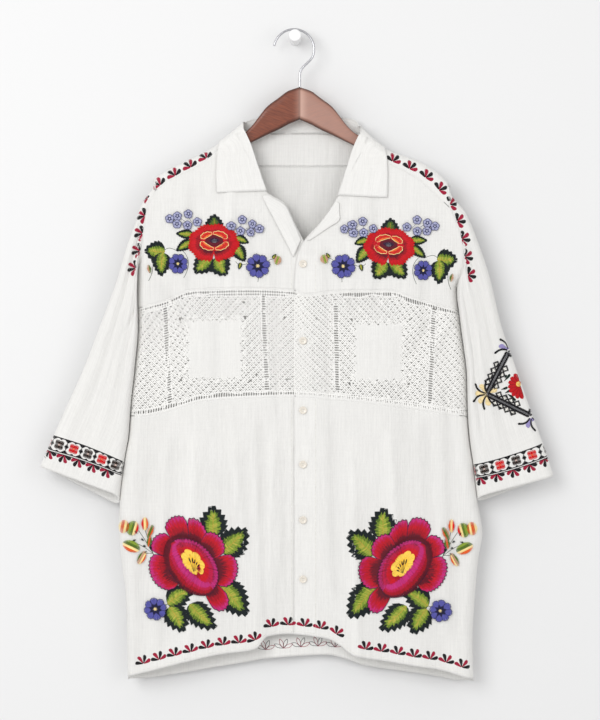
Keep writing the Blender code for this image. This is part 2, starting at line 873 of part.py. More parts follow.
def turn_station(row, mirrored):
    """Points of the collar across its width, where it passes over a shoulder."""
    turn, roll_x, edge_x, rise = row
    turn = math.radians(turn)
    seam_x = NECK_LEFT
    inward = 1.0
    if mirrored:
        roll_x, edge_x = 2 * NECK_CENTRE - roll_x, 2 * NECK_CENTRE - edge_x
        seam_x = NECK_RIGHT
        inward = -1.0
    points = [turn_point(seam_x, turn, STAND_LIFT, 0.0)]
    points.append(turn_point(roll_x, turn, STAND_LIFT, rise))
    points.append(turn_point(roll_x + inward, turn, (STAND_LIFT + LEAF_LIFT) / 2, rise + LEAF_BULGE))
    points.append(turn_point(roll_x, turn, LEAF_LIFT, rise))
    for share in LEAF_SHARES:
        x = mix(roll_x, edge_x, share)
        points.append(turn_point(x, turn, LEAF_LIFT, rise * (1 - share) ** 2))
    return points


def mirrored_row(row, drop):
    roll_x, roll_z, edge_x, edge_z = row
    return (
        2 * NECK_CENTRE - roll_x,
        roll_z * drop,
        2 * NECK_CENTRE - edge_x,
        edge_z * drop,
    )


def collar(group):
    stations = [fall_station(row, -1, left_opening) for row in COLLAR_FRONT]
    stations += [turn_station(row, False) for row in COLLAR_TURN]
    stations += [fall_station(row, 1, None) for row in COLLAR_BACK]
    stations.append(fall_station(COLLAR_MIDDLE, 1, None))
    for row in reversed(COLLAR_BACK):
        stations.append(fall_station(mirrored_row(row, 1.0), 1, None))
    stations += [turn_station(row, True) for row in reversed(COLLAR_TURN)]
    for row in reversed(COLLAR_FRONT):
        stations.append(fall_station(mirrored_row(row, RIGHT_DROP), -1, right_opening))
    points = [point for station in stations for point in station]
    faces = grid_faces(len(stations), len(stations[0]), flip=True)
    return sheet("collar", points, faces, "cotton", group)


def lapel(name, table, set_back, flip, group):
    points = []
    for roll_x, roll_z, edge_x, edge_z in table:
        for share in even(LAPEL_CELLS):
            x = mix(roll_x, edge_x, share)
            z = mix(roll_z, edge_z, share)
            points.append((x, body_y(x, z, -1, LAPEL_LIFT) + set_back(x), z))
    faces = grid_faces(len(table), LAPEL_CELLS + 1, flip=flip)
    return sheet(name, points, faces, "cotton", group, LAPEL_WALL)


def button(number, z, group):
    """A turned disc with a raised rim, lying on the right front."""
    profile = (
        (0.0, 0.5),
        (3.6, 0.5),
        (4.3, 0.0),
        (5.2, 0.1),
        (BUTTON_ROUND, 0.8),
        (BUTTON_ROUND, 1.5),
        (4.4, BUTTON_THICK),
        (0.0, BUTTON_THICK),
    )
    name = f"button_{number}"
    mesh = bpy.data.meshes.new(name)
    points = [(radius * MM, 0.0, -depth * MM) for radius, depth in profile]
    mesh.from_pydata(points, [(k, k + 1) for k in range(len(points) - 1)], [])
    thing = bpy.data.objects.new(name, mesh)
    group.objects.link(thing)
    thing.data.materials.append(finish(name, "shell"))
    turned(thing, BUTTON_STEPS)
    back = body_y(BUTTON_X, z, -1) - WALL - SEAM
    thing.location = (BUTTON_X * MM, (back - BUTTON_THICK) * MM, z * MM)
    thing.rotation_euler = (math.radians(90), 0.0, 0.0)
    return thing


def turned(thing, steps):
    screw = thing.modifiers.new("turn", "SCREW")
    screw.steps = steps
    screw.render_steps = steps
    screw.use_merge_vertices = True
    screw.merge_threshold = 0.00005
    screw.use_smooth_shade = True


def wall_peg(group):
    """A plain round peg with an eased front edge."""
    inner = PEG_ROUND - PEG_EDGE
    profile = (
        (0.0, PEG_LENGTH),
        (inner, PEG_LENGTH),
        (PEG_ROUND - PEG_EDGE * 0.3, PEG_LENGTH - PEG_EDGE * 0.3),
        (PEG_ROUND, PEG_LENGTH - PEG_EDGE),
        (PEG_ROUND, 0.0),
        (0.0, 0.0),
    )
    mesh = bpy.data.meshes.new("wall_peg")
    points = [(radius * MM, 0.0, depth * MM) for radius, depth in profile]
    mesh.from_pydata(points, [(k, k + 1) for k in range(len(points) - 1)], [])
    thing = bpy.data.objects.new("wall_peg", mesh)
    group.objects.link(thing)
    thing.data.materials.append(finish("wall_peg", "paint"))
    turned(thing, PEG_STEPS)
    thing.rotation_euler = (math.radians(90), 0.0, 0.0)
    return thing


def hanger_hook(group):
    """A wire hook that lies over the peg and ends just above the wood."""
    middle_x, middle_z = HOOK_CENTRE
    reach = math.hypot(middle_x, middle_z) + PEG_ROUND + SEAM + HOOK_WIRE / 2
    route = []
    for k in range(HOOK_STEPS + 1):
        turn = math.radians(mix(HOOK_TIP_TURN, HOOK_END_TURN, k / HOOK_STEPS))
        route.append((middle_x + reach * math.cos(turn), middle_z + reach * math.sin(turn)))
    start = Vector(route[-1])
    turn = math.radians(HOOK_END_TURN)
    leave = Vector((math.sin(turn), -math.cos(turn)))
    stem = Vector(HOOK_STEM)
    near = start + leave * HOOK_LEAVE
    far = stem + Vector((0.0, HOOK_ARRIVE))
    for k in range(1, HOOK_BEND_STEPS + 1):
        s = k / HOOK_BEND_STEPS
        bend = start * (1 - s) ** 3 + near * (3 * s * (1 - s) ** 2)
        bend += far * (3 * s * s * (1 - s)) + stem * s**3
        route.append((bend.x, bend.y))
    route.append((HOOK_STEM[0], HANGER[0][1] + HOOK_SEAT))
    curve = bpy.data.curves.new("hanger_hook", "CURVE")
    curve.dimensions = "3D"
    curve.bevel_depth = HOOK_WIRE / 2 * MM
    curve.bevel_resolution = 2
    curve.use_fill_caps = True
    spline = curve.splines.new("POLY")
    spline.points.add(len(route) - 1)
    for point, (x, z) in zip(spline.points, route):
        point.co = (x * MM, HANGER_Y * MM, z * MM, 1.0)
    thing = bpy.data.objects.new("hanger_hook", curve)
    group.objects.link(thing)
    curve.materials.append(finish("hanger_hook", "steel"))
    return thing


def hanger_wood(group):
    """Half of the wood, lofted along its arm and mirrored at the middle."""
    points = []
    half = HANGER_THICK / 2
    for distance, top, low in HANGER:
        y = -ARM_FORWARD * distance
        corner = HANGER_CORNER
        outline = (
            (-half + corner, top),
            (-half, top - corner),
            (-half, low + corner),
            (-half + corner, low),
            (half - corner, low),
            (half, low + corner),
            (half, top - corner),
            (half - corner, top),
        )
        points += [(distance, y + depth, z) for depth, z in outline]
    around = 8
    faces = grid_faces(len(HANGER), around, wrap=True, flip=True)
    last = (len(HANGER) - 1) * around
    faces.append([last + k for k in range(around)])
    mesh = bpy.data.meshes.new("hanger_wood")
    mesh.from_pydata([Vector(point) * MM for point in points], [], faces)
    fix_normals(mesh)
    thing = new_object("hanger_wood", mesh, "lacquer", group)
    thing.location = (HANGER_X * MM, HANGER_Y * MM, 0.0)
    mirror = thing.modifiers.new("other arm", "MIRROR")
    mirror.merge_threshold = 0.00005
    return thing


def fix_normals(mesh):
    """Faces of a form that is open only at its mirror plane are turned outwards."""
    form = bmesh.new()
    form.from_mesh(mesh)
    bmesh.ops.recalc_face_normals(form, faces=form.faces)
    form.to_mesh(mesh)
    form.free()


def build():
    clear_scene()
    group = bpy.data.collections.new("embroidered_shirt")
    bpy.context.scene.collection.children.link(group)
    wall_peg(group)
    hanger_hook(group)
    hanger_wood(group)
    back_panel(group)
    yoke(group)
    front_panel("left_upper_front", "left", YOKE_FRONT, LACE_TOP, UPPER_CELLS, group)
    front_panel("right_upper_front", "right", YOKE_FRONT, LACE_TOP, UPPER_CELLS, group)
    lace_panel("left_lace", "left", LEFT_LADDERS, LEFT_UPRIGHTS, group)
    lace_panel("right_lace", "right", RIGHT_LADDERS, RIGHT_UPRIGHTS, group)
    front_panel("left_lower_front", "left", LACE_BOTTOM, HEM_FRONT, LOWER_CELLS, group)
    front_panel("right_lower_front", "right", LACE_BOTTOM, HEM_FRONT, LOWER_CELLS, group)
    lapel("left_lapel", LEFT_LAPEL, left_set_back, True, group)
    lapel("right_lapel", RIGHT_LAPEL, no_set_back, False, group)
    collar(group)
    sleeve("left_sleeve", LEFT_SLEEVE, left_edge, -1.0, LEFT_CUFF_DIP, group)
    sleeve("right_sleeve", RIGHT_SLEEVE, right_edge, 1.0, RIGHT_CUFF_DIP, group)
    for number, z in enumerate(BUTTON_HEIGHTS, 1):
        button(number, z, group)


build()
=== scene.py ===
# %% [markdown]
# # An embroidered folk shirt on a wooden hanger
# The solids of the part are already packed as a fixed frame. This file dresses them:
# every cloth piece becomes a thin, finely divided shell with its folds, the lace
# becomes a real net, and each stitch of the embroidery is a small raised thread.
# The first cell loads the frame and bakes each solid's placement into its mesh.

import math
from contextlib import contextmanager

import bmesh
import bpy
import numpy as np
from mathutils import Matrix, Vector
from mathutils.bvhtree import BVHTree


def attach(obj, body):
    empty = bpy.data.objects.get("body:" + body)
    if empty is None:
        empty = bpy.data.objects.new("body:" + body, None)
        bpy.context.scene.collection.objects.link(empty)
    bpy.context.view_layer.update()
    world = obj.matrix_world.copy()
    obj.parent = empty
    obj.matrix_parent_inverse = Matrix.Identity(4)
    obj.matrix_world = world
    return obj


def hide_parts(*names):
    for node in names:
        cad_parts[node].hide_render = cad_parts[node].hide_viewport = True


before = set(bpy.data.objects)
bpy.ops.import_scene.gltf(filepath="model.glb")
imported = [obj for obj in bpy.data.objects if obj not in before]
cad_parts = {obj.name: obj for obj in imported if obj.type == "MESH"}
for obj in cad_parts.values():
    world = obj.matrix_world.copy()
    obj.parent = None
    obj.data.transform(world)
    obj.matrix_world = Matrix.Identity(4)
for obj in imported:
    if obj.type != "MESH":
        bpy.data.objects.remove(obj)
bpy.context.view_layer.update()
chance = np.random.default_rng(7)
MM = 0.001

# %% [markdown]
# ## Wall, camera and light
# The shirt hangs flat against a pale wall and is lit softly from above and in front,
# so its folds show as faint greys. A long lens far away keeps the picture as straight
# as the real one. One large soft lamp gives the folds their shading, a weaker one
# opens the shadows, and a bright world gives the airy white look.

# %% Wall, camera and light
SHOT_CENTRE = (7.5, -485.85)  # millimetres on the wall
SHOT_WIDTH = 900
SHOT_DISTANCE = 3200
CLOTH_PLANE = -36
SENSOR = 36


def add_object(name, data):
    made = bpy.data.objects.new(name, data)
    bpy.context.scene.collection.objects.link(made)
    return made


def make_camera():
    data = bpy.data.cameras.new("camera")
    data.sensor_fit = "HORIZONTAL"
    data.sensor_width = SENSOR
    data.lens = SENSOR * (SHOT_DISTANCE + CLOTH_PLANE) / SHOT_WIDTH
    camera = add_object("camera", data)
    camera.location = (SHOT_CENTRE[0] * MM, -SHOT_DISTANCE * MM, SHOT_CENTRE[1] * MM)
    camera.rotation_euler = (math.radians(90), 0, 0)
    bpy.context.scene.camera = camera
    print("camera sees", SHOT_WIDTH, "mm across")


def soft_lamp(name, place, aim, size, power):
    data = bpy.data.lights.new(name, "AREA")
    data.shape = "RECTANGLE"
    data.size, data.size_y = size
    data.energy = power
    lamp = add_object(name, data)
    lamp.location = place
    lamp.rotation_euler = (Vector(aim) - Vector(place)).to_track_quat("-Z", "Y").to_euler()


def new_material(name, looks):
    """A material, its node tree and its shader, with the sockets that are one plain value."""
    made = bpy.data.materials.new(name)
    made.use_nodes = True
    shader = made.node_tree.nodes["Principled BSDF"]
    for socket, value in looks.items():
        shader.inputs[socket].default_value = value
    return made, made.node_tree, shader


def make_wall():
    mesh = bpy.data.meshes.new("wall")
    corners = [(-3, 0, -3), (3, 0, -3), (3, 0, 2), (-3, 0, 2)]
    mesh.from_pydata(corners, [], [(0, 1, 2, 3)])
    paint, _, _ = new_material("wall paint", {"Base Color": (0.79, 0.79, 0.79, 1), "Roughness": 0.9})
    mesh.materials.append(paint)
    add_object("wall", mesh)


def make_light():
    soft_lamp("high front lamp", (-1.35, -2.7, 0.35), (0, 0, -0.7), (1.6, 1.6), 41)
    soft_lamp("right fill lamp", (1.8, -2.4, -0.2), (0, 0, -0.5), (1.4, 1.8), 10)
    world = bpy.data.worlds.new("studio")
    world.use_nodes = True
    bpy.context.scene.world = world
    backdrop = world.node_tree.nodes["Background"]
    backdrop.inputs[0].default_value = (1, 1, 1, 1)
    backdrop.inputs[1].default_value = 0.735
    bpy.context.scene.view_settings.view_transform = "Standard"


make_camera()
make_wall()
make_light()

# %% [markdown]
# ## The cut of the shirt
# A garment is described by a few lines: its side seams, its shoulder line, the lines
# that cut the front into yoke, chest, lace and skirt, and the hems. The same short
# tables as in the part's source are repeated here, in millimetres. They are read along
# smooth curves, as a cutter's curved ruler would join the marks.

# %% Lines of the cut
WALL = 1.2
SEAM = 0.3
SHOULDER_Y = -30
ARM_FORWARD = 0.06
FORWARD_FROM = -220
FORWARD_TO = -420
RIDGE_ROUND = 14
UNDERARM_FADE = 40
HANGER_X = 6.75
NECK_LEFT = -85
NECK_RIGHT = 106
NECK_CENTRE = 10.5
RIGHT_DROP = 1.03
PLACKET = 27
UNDER_LAP = 1.8
LEFT_UNDERARM = -349
RIGHT_UNDERARM = -379

# Depth of the body: height, middle, half of the gap inside
DEPTHS = (
    (-130, SHOULDER_Y, RIDGE_ROUND), (-230, SHOULDER_Y, RIDGE_ROUND), (-330, -28.5, 15),
    (-480, -27, 16.5), (-700, -28.5, 17), (-860, -31.5, 17), (-970, -35, 17),
)
# Side edges of the body, the armhole first: height, x
LEFT_EDGE = (
    (-214, -211), (-234, -209), (-249, -217), (-272, -222), (-301, -226.5),
    (-331, -231), (-349, -236), (-396, -237), (-435, -236), (-499, -241),
    (-555, -247), (-598, -250), (-633, -256), (-703, -264), (-736, -265),
    (-798, -260), (-831, -255), (-877, -253), (-960, -251),
)
RIGHT_EDGE = (
    (-223, 230), (-245, 230.5), (-262, 233.5), (-280, 240), (-300, 247),
    (-318, 250), (-336, 250.5), (-364, 247), (-379, 243), (-424, 247.5),
    (-465, 253), (-507, 258), (-564, 259.5), (-604, 262.5), (-643, 268),
    (-700, 275), (-744, 282), (-783, 276), (-843, 270.5), (-903, 267),
    (-961, 268),
)
# Lines across the body: x, height
RIDGE = (
    (-211, -214), (-190, -201), (-160, -186), (-135, -174), (-113, -160),
    (-84, -141), (-60, -131), (10.5, -130), (81, -134), (105, -148),
    (139, -171), (180, -186), (210, -203), (231, -223),
)
YOKE_FRONT = (
    (-209, -234), (-194, -223), (-171, -209), (-146, -198), (-117, -173),
    (-87, -156), (108, -164), (139, -190), (180, -213), (202, -231),
    (217, -246), (231, -259),
)
YOKE_BACK = (
    (-220, -256), (-150, -228), (-100, -205), (-60, -194), (80, -194),
    (120, -208), (170, -232), (238, -258),
)
LACE_TOP = (
    (-238, -409), (-195, -397), (-153, -381), (-65, -379), (0, -382),
    (16, -388), (65, -383), (144, -382), (172, -391), (247, -413),
)
LACE_BOTTOM = (
    (-250, -570), (-226, -569), (-199, -564), (-133, -546), (-69, -542),
    (-3, -540), (65, -545), (156, -555), (260, -571),
)
HEM_FRONT = (
    (-251, -960), (-217, -951), (-171, -939), (-123, -928), (-59, -918),
    (-42, -900), (-13, -897), (49, -904), (67, -913), (88, -928),
    (153, -939), (219, -950), (268, -964),
)
HEM_BACK = (
    (-251, -965), (-234, -966), (-179, -959), (-124, -950), (-70, -941),
    (-43, -936), (15, -932), (49, -931), (88, -940), (102, -946),
    (153, -954), (189, -959), (225, -965), (244, -969), (268, -968),
)
# Inner edge of each front: height, x
LEFT_OPENING = (
    (-156, -87), (-170, -77), (-199, -61), (-233, -44.5), (-253, -14),
    (-280, -1), (-307, 13), (-322, 22), (-340, -1.5 + PLACKET),
    (-970, -1.5 + PLACKET),
)
RIGHT_OPENING = (
    (-164, 108), (-175, 99), (-205, 84), (-241, 64.5), (-249, 60),
    (-280, 38), (-309, 12.6), (-328, 4), (-349, 0.5), (-385, -1.5),
    (-970, -1.5),
)
# Main folds of the front: x and z above, x and z below, half width, depth
VALLEYS = (
    (-196, -330, -214, -640, 22, 5), (-214, -620, -233, -930, 15, 6),
    (-120, -330, -112, -560, 20, 3.5), (-110, -600, -96, -930, 26, 5),
    (160, -400, 176, -720, 20, 5), (110, -660, 128, -940, 24, 5),
    (205, -760, 214, -950, 18, 5),
)
# Recess in the middle of the hem: height, middle, half width, depth
RECESS = (
    (-690, 7, 24, 0), (-760, 8, 30, 3), (-860, 10, 46, 9),
    (-930, 12, 62, 13), (-970, 12, 66, 13),
)
# Main folds of the back, in the same columns
BACK_VALLEYS = (
    (-130, -300, -142, -820, 30, 4), (-30, -260, -22, -930, 26, 5),
    (70, -420, 78, -940, 24, 5), (170, -300, 160, -860, 28, 4),
)
VALLEY_FADE = 90


class Line:
    """Reads one column of a table along a smooth curve, for many places at once."""

    def __init__(self, table, column=1):
        rows = sorted(table)
        self.at = np.array([row[0] for row in rows], dtype=float)
        self.value = np.array([row[column] for row in rows], dtype=float)
        rise = np.diff(self.value) / np.diff(self.at)
        slope = np.zeros(len(rows))
        slope[0], slope[-1] = rise[0], rise[-1]
        before, after = rise[:-1], rise[1:]
        same = before * after > 0
        total = np.where(same, before + after, 1)
        slope[1:-1] = np.where(same, 2 * before * after / total, 0)
        self.slope = slope

    def __call__(self, place):
        place = np.clip(np.asarray(place, dtype=float), self.at[0], self.at[-1])
        k = np.clip(np.searchsorted(self.at, place, side="right") - 1, 0, len(self.at) - 2)
        width = self.at[k + 1] - self.at[k]
        t = (place - self.at[k]) / width
        square, cube = t**2, t**3
        return (
            self.value[k] * (2 * cube - 3 * square + 1)
            + self.slope[k] * width * (cube - 2 * square + t)
            + self.value[k + 1] * (3 * square - 2 * cube)
            + self.slope[k + 1] * width * (cube - square)
        )


def mix(a, b, share):
    return a + (b - a) * share


def ease(value):
    value = np.clip(value, 0, 1)
    return value * value * (3 - 2 * value)


def round_share(distance, radius):
    distance = np.clip(distance, 0, radius)
    return np.sqrt(np.maximum(0, 1 - ((radius - distance) / radius) ** 2))


left_side = Line(LEFT_EDGE)
right_side = Line(RIGHT_EDGE)
shoulder_line = Line(RIDGE)
yoke_front = Line(YOKE_FRONT)
yoke_back = Line(YOKE_BACK)
lace_top = Line(LACE_TOP)
lace_bottom = Line(LACE_BOTTOM)
hem_front = Line(HEM_FRONT)
hem_back = Line(HEM_BACK)
left_opening = Line(LEFT_OPENING)
right_opening = Line(RIGHT_OPENING)
depth_middle = Line(DEPTHS)
depth_half = Line(DEPTHS, 2)
recess_middle, recess_half, recess_deep = (Line(RECESS, column) for column in (1, 2, 3))
print("lines of the cut read")

# %% [markdown]
# ## How deep the cloth lies
# The shirt hangs in the air between its hanger and the wall, so each point of the front
# and back has a depth. It follows the hanger's arms near the shoulders, rounds off at
# the side seams and the shoulder line, and sinks into folds. Folds are soft troughs
# along short lines, each with its own place, width and depth, as listed. The large
# ones repeat those of the solids. The fine creases of crumpled cotton come on top.

# %% Depth of the cloth
# Finer creases of the front: x and z above, x and z below, half width, depth
CREASES = (
    (-52, -560, -44, -860, 7, 1.6), (-34, -590, -40, -800, 5, -1.1),
    (-78, -600, -70, -760, 6, 1.3), (-95, -575, -88, -730, 5, -0.9),
    (-18, -600, -14, -780, 5, 1), (-60, -640, -58, -720, 4, -0.9),
    (-150, -580, -160, -900, 9, -1.8), (-180, -590, -196, -900, 8, 1.6),
    (55, -560, 62, -830, 8, 1.6), (84, -590, 92, -900, 7, -1.4),
    (140, -575, 150, -780, 8, -1.5), (196, -560, 200, -800, 9, 1.7),
    (228, -500, 238, -880, 8, 1.8), (-150, -215, -158, -380, 9, 1.4),
    (-96, -200, -100, -390, 7, -1.2), (-62, -250, -66, -390, 6, 1),
    (-30, -290, -26, -560, 6, 0.9), (118, -220, 124, -390, 8, 1.3),
    (86, -230, 80, -390, 6, -1), (190, -270, 196, -420, 9, 1.6),
    (48, -300, 52, -560, 6, 0.9), (-205, -360, -168, -430, 9, 2),
    (-222, -380, -190, -460, 7, -1.4), (228, -390, 190, -455, 9, 2),
    (238, -410, 206, -480, 7, -1.4),
)
BACK_CREASES = (
    (-60, -420, -54, -900, 9, 1.8), (24, -400, 30, -880, 8, -1.5),
    (120, -420, 126, -930, 9, 1.7), (-180, -380, -190, -900, 10, 1.8),
    (215, -400, 222, -900, 10, 1.6), (-96, -260, -92, -500, 7, 1.2),
    (96, -270, 100, -520, 7, 1.2),
)


def left_edge(z):
    return left_side(z) + WALL


def right_edge(z):
    return right_side(z) - WALL


def ridge(x):
    return shoulder_line(x) - WALL


def mid_y(x, z):
    follow = ease((z - FORWARD_TO) / (FORWARD_FROM - FORWARD_TO))
    return depth_middle(z) - ARM_FORWARD * np.abs(x - HANGER_X) * follow


def side_round(x, z):
    """0 at a side seam, growing to 1 over the rounded side of the body."""
    gap = depth_half(z)
    open_left = gap * ease((z - LEFT_UNDERARM) / UNDERARM_FADE)
    open_right = gap * ease((z - RIGHT_UNDERARM) / UNDERARM_FADE)
    from_left = x - left_edge(z) + open_left
    from_right = right_edge(z) - x + open_right
    return round_share(np.minimum(from_left, from_right), gap)


def folds(table, x, z, fade=VALLEY_FADE):
    depth = 0
    for top_x, top_z, low_x, low_z, half, deep in table:
        along = (top_z - z) / (top_z - low_z)
        centre = mix(top_x, low_x, along)
        ends = ease((top_z - z) / fade) * ease((z - low_z) / fade + 1)
        depth = depth + deep * ends * np.exp(-(((x - centre) / half) ** 2))
    return depth


def recess(x, z):
    deep = np.where(z > RECESS[0][0], 0, recess_deep(z))
    return deep * np.exp(-(np.abs((x - recess_middle(z)) / recess_half(z)) ** 5))


def crinkle(x, z, size):
    """Fine upright wrinkles of crumpled cotton, from a few crossing waves."""
    drift = 5 * np.sin(z / 61 + 0.7) + 3 * np.sin(z / 27 + x / 70)
    fine = np.sin((x + drift) / 1.9 + 1.3 * np.sin(z / 23))
    wide = np.sin((x + 1.6 * drift) / 4.3 + 2 * np.sin(z / 47 + x / 90))
    patches = 0.5 + 0.5 * np.sin(x / 31 + 1.1) * np.sin(z / 53 + 0.4)
    return size * (0.45 * fine + 0.8 * wide) * patches


# Where embroidery stiffens the cloth: middle x and z, half width and half height
SEWN = (
    (-122, -315, 110, 50), (141, -315, 110, 50),
    (-157, -798, 96, 96), (166, -801, 96, 96),
)


def sewn_over(x, z):
    cover = 0
    for middle_x, middle_z, half_x, half_z in SEWN:
        away = ((x - middle_x) / half_x) ** 6 + ((z - middle_z) / half_z) ** 6
        cover = cover + np.exp(-away)
    return cover


def front_crinkle(x, z):
    """Most wrinkled left of the buttons below the lace, faint elsewhere."""
    there = np.exp(-(((x + 62) / 52) ** 4)) * ease((-560 - z) / 40)
    there = there * ease((z + 880) / 80)
    return crinkle(x, z, 0.22 + 0.95 * there) * (1 - 0.85 * sewn_over(x, z))


def fine_folds(x, z):
    return 2.3 * folds(CREASES, x, z, 45) + front_crinkle(x, z)


def body_y(x, z, side, lift=0, fine=True):
    """y of the front (side -1) or back (side 1), lifted off its inner face."""
    gap = depth_half(z) + lift
    edge = side_round(x, z) * round_share(ridge(x) + lift - z, gap)
    if side < 0:
        fold = folds(VALLEYS, x, z) + recess(x, z)
        if fine:
            fold = fold + fine_folds(x, z)
    else:
        fold = folds(BACK_VALLEYS, x, z)
        if fine:
            neck = np.exp(-(((x - 14) / 58) ** 4)) * ease((z + 300) / 60)
            fold = fold + folds(BACK_CREASES, x, z, 60) + crinkle(x, z, 0.14 + 0.5 * neck)
    return mid_y(x, z) + side * (SEAM / 2 + edge * (gap - fold))


print("depth at the middle of the chest", round(float(body_y(-60, -300, -1)), 1), "mm")

# %% [markdown]
# ## Cotton, lace and thread as materials
# White cotton isn't one flat white. Its yarns run up and across, some thicker than the
# rest, and they catch the light as faint streaks. Light also passes through a single
# layer. The material reads a place on the cloth that each mesh carries along, so the
# yarns follow the sleeve as it slants. A second attribute, the tone, is painted light
# and shade: it darkens or lightens a spot where the cloth is single, doubled or in the
# shade of a crease.

# %% Cotton, lace and thread
def feed(tree, value, socket):
    """Links a node's output to a socket, or sets the socket to a plain value."""
    if isinstance(value, bpy.types.NodeSocket):
        tree.links.new(value, socket)
    else:
        socket.default_value = value


def node(tree, kind, inputs=None, **settings):
    made = tree.nodes.new("ShaderNode" + kind)
    for name, value in settings.items():
        setattr(made, name, value)
    for name, value in (inputs or {}).items():
        feed(tree, value, made.inputs[name])
    return made


def maths(tree, operation, first, second=None):
    inputs = {0: first} if second is None else {0: first, 1: second}
    return node(tree, "Math", inputs, operation=operation).outputs[0]


def kept(tree, name, output="Fac"):
    """Reads what a mesh keeps at each of its points."""
    return node(tree, "Attribute", attribute_name=name).outputs[output]


def cloth_place(tree, across, down):
    """The place on the cloth, in millimetres, stretched by a factor each way."""
    inputs = {0: kept(tree, "cloth_place", "Vector"), 1: (across, down, 1)}
    return node(tree, "VectorMath", inputs, operation="MULTIPLY").outputs[0]


def noise(tree, across, down, detail=2):
    inputs = {"Scale": 1, "Detail": detail, "Vector": cloth_place(tree, across, down)}
    return node(tree, "TexNoise", inputs).outputs["Fac"]


def ramp(tree, value, low, high):
    inputs = {"From Min": 0.3, "From Max": 0.7, "To Min": low, "To Max": high, "Value": value}
    return node(tree, "MapRange", inputs).outputs[0]


def tinted(tree, colour, shade):
    inputs = {0: colour, "Scale": shade}
    return node(tree, "VectorMath", inputs, operation="SCALE").outputs[0]


def bump(tree, height, strength, distance, shader):
    """Raises the surface of a shader by a height, without moving the mesh."""
    inputs = {"Strength": strength, "Distance": distance, "Height": height}
    raised = node(tree, "Bump", inputs).outputs[0]
    tree.links.new(raised, shader.inputs["Normal"])
    return raised


def weave(tree, pitch):
    """Yarns over and under each other, as a height from 0 to 1."""
    parts = node(tree, "SeparateXYZ", {0: kept(tree, "cloth_place", "Vector")})
    waves = [maths(tree, "MULTIPLY", parts.outputs[k], 2 * math.pi / pitch) for k in (0, 1)]
    return maths(tree, "MULTIPLY", *(maths(tree, "SINE", wave) for wave in waves))


def cloth_material(name, colour, pitch, light_through, relief):
    made, tree, shader = new_material(name, {
        "Roughness": 0.88, "Sheen Weight": 0.12, "Sheen Roughness": 0.5, "Specular IOR Level": 0.2,
    })
    slubs = ramp(tree, noise(tree, 0.55, 0.02), 0.95, 1.02)
    cross = ramp(tree, noise(tree, 0.03, 0.45), 0.985, 1.01)
    yarns = maths(tree, "MULTIPLY", slubs, cross)
    tint = tinted(tree, colour, maths(tree, "MULTIPLY", yarns, kept(tree, "tone")))
    tree.links.new(tint, shader.inputs["Base Color"])
    height = maths(tree, "ADD", maths(tree, "MULTIPLY", weave(tree, pitch), 0.12), slubs)
    crumple = maths(tree, "MULTIPLY", noise(tree, 0.11, 0.045, 4), 2.4)
    pleats = maths(tree, "MULTIPLY", noise(tree, 0.42, 0.07, 3), 1.1)
    height = maths(tree, "ADD", height, maths(tree, "ADD", crumple, pleats))
    raised = bump(tree, height, relief, 0.0006, shader)
    through = node(tree, "BsdfTranslucent", {"Color": tint, "Normal": raised}).outputs[0]
    blend = node(tree, "MixShader", {0: light_through, 1: shader.outputs[0], 2: through})
    tree.links.new(blend.outputs[0], tree.nodes["Material Output"].inputs["Surface"])
    return made


BLEACHED = (0.9, 0.89, 0.865)
cotton = cloth_material("crumpled white cotton", BLEACHED, 0.7, 0.08, 0.9)
lace_cotton = cloth_material("white lace cotton", BLEACHED, 0.6, 0.06, 0.6)
print("cloth materials made")

# %% [markdown]
# ## A cloth piece from a grid
# Most pieces of a garment can be set out as rows and columns of points. A grid is easy
# to shade smoothly, and NumPy works out all its points at once. The points start on
# the inner face of the solid's wall and move out along the surface, so the visible
# cloth lies inside that wall. Solidify then gives it the thinness of cotton.

# %% Cloth from a grid
OUTER = 0.75  # how far out of the wall's inner face the cloth's outside lies
THICK = 0.35


def unit(vectors):
    return vectors / np.maximum(np.linalg.norm(vectors, axis=-1, keepdims=True), 1e-9)


def outward(points, wrap=False):
    """Unit normals of a grid of points, looking out of its front."""
    if wrap:
        points = np.concatenate([points, points[:, :1]], axis=1)
    normals = unit(np.cross(np.gradient(points, axis=0), np.gradient(points, axis=1)))
    return normals[:, :-1] if wrap else normals


def grid_mesh(name, points, wrap=False, flip=False, skip=None):
    rows, columns = points.shape[:2]
    order = np.arange(rows * columns).reshape(rows, columns)
    if wrap:
        order = np.concatenate([order, order[:, :1]], axis=1)
    quads = np.stack([order[:-1, :-1], order[1:, :-1], order[1:, 1:], order[:-1, 1:]], axis=-1)
    if skip is not None:
        quads = quads[~skip]
    quads = quads.reshape(-1, 4)
    if flip:
        quads = quads[:, ::-1]
    return mesh_from(name, points.reshape(-1, 3), quads)


def mesh_from(name, points, faces):
    """A mesh from points in millimetres and faces that all have as many corners."""
    mesh = bpy.data.meshes.new(name)
    count, corners = faces.shape
    mesh.vertices.add(len(points))
    mesh.vertices.foreach_set("co", (points * MM).astype(np.float32).ravel())
    mesh.loops.add(count * corners)
    mesh.loops.foreach_set("vertex_index", faces.astype(np.int32).ravel())
    mesh.polygons.add(count)
    mesh.polygons.foreach_set("loop_start", np.arange(count, dtype=np.int32) * corners)
    mesh.update(calc_edges=True)
    mesh.validate()
    mesh.shade_smooth()
    return mesh


def note_on(mesh, name, values, kind="FLOAT", key="value"):
    """Keeps a number, a vector or a colour at each point of a mesh."""
    attribute = mesh.attributes.new(name, kind, "POINT")
    attribute.data.foreach_set(key, np.asarray(values, dtype=np.float32).ravel())


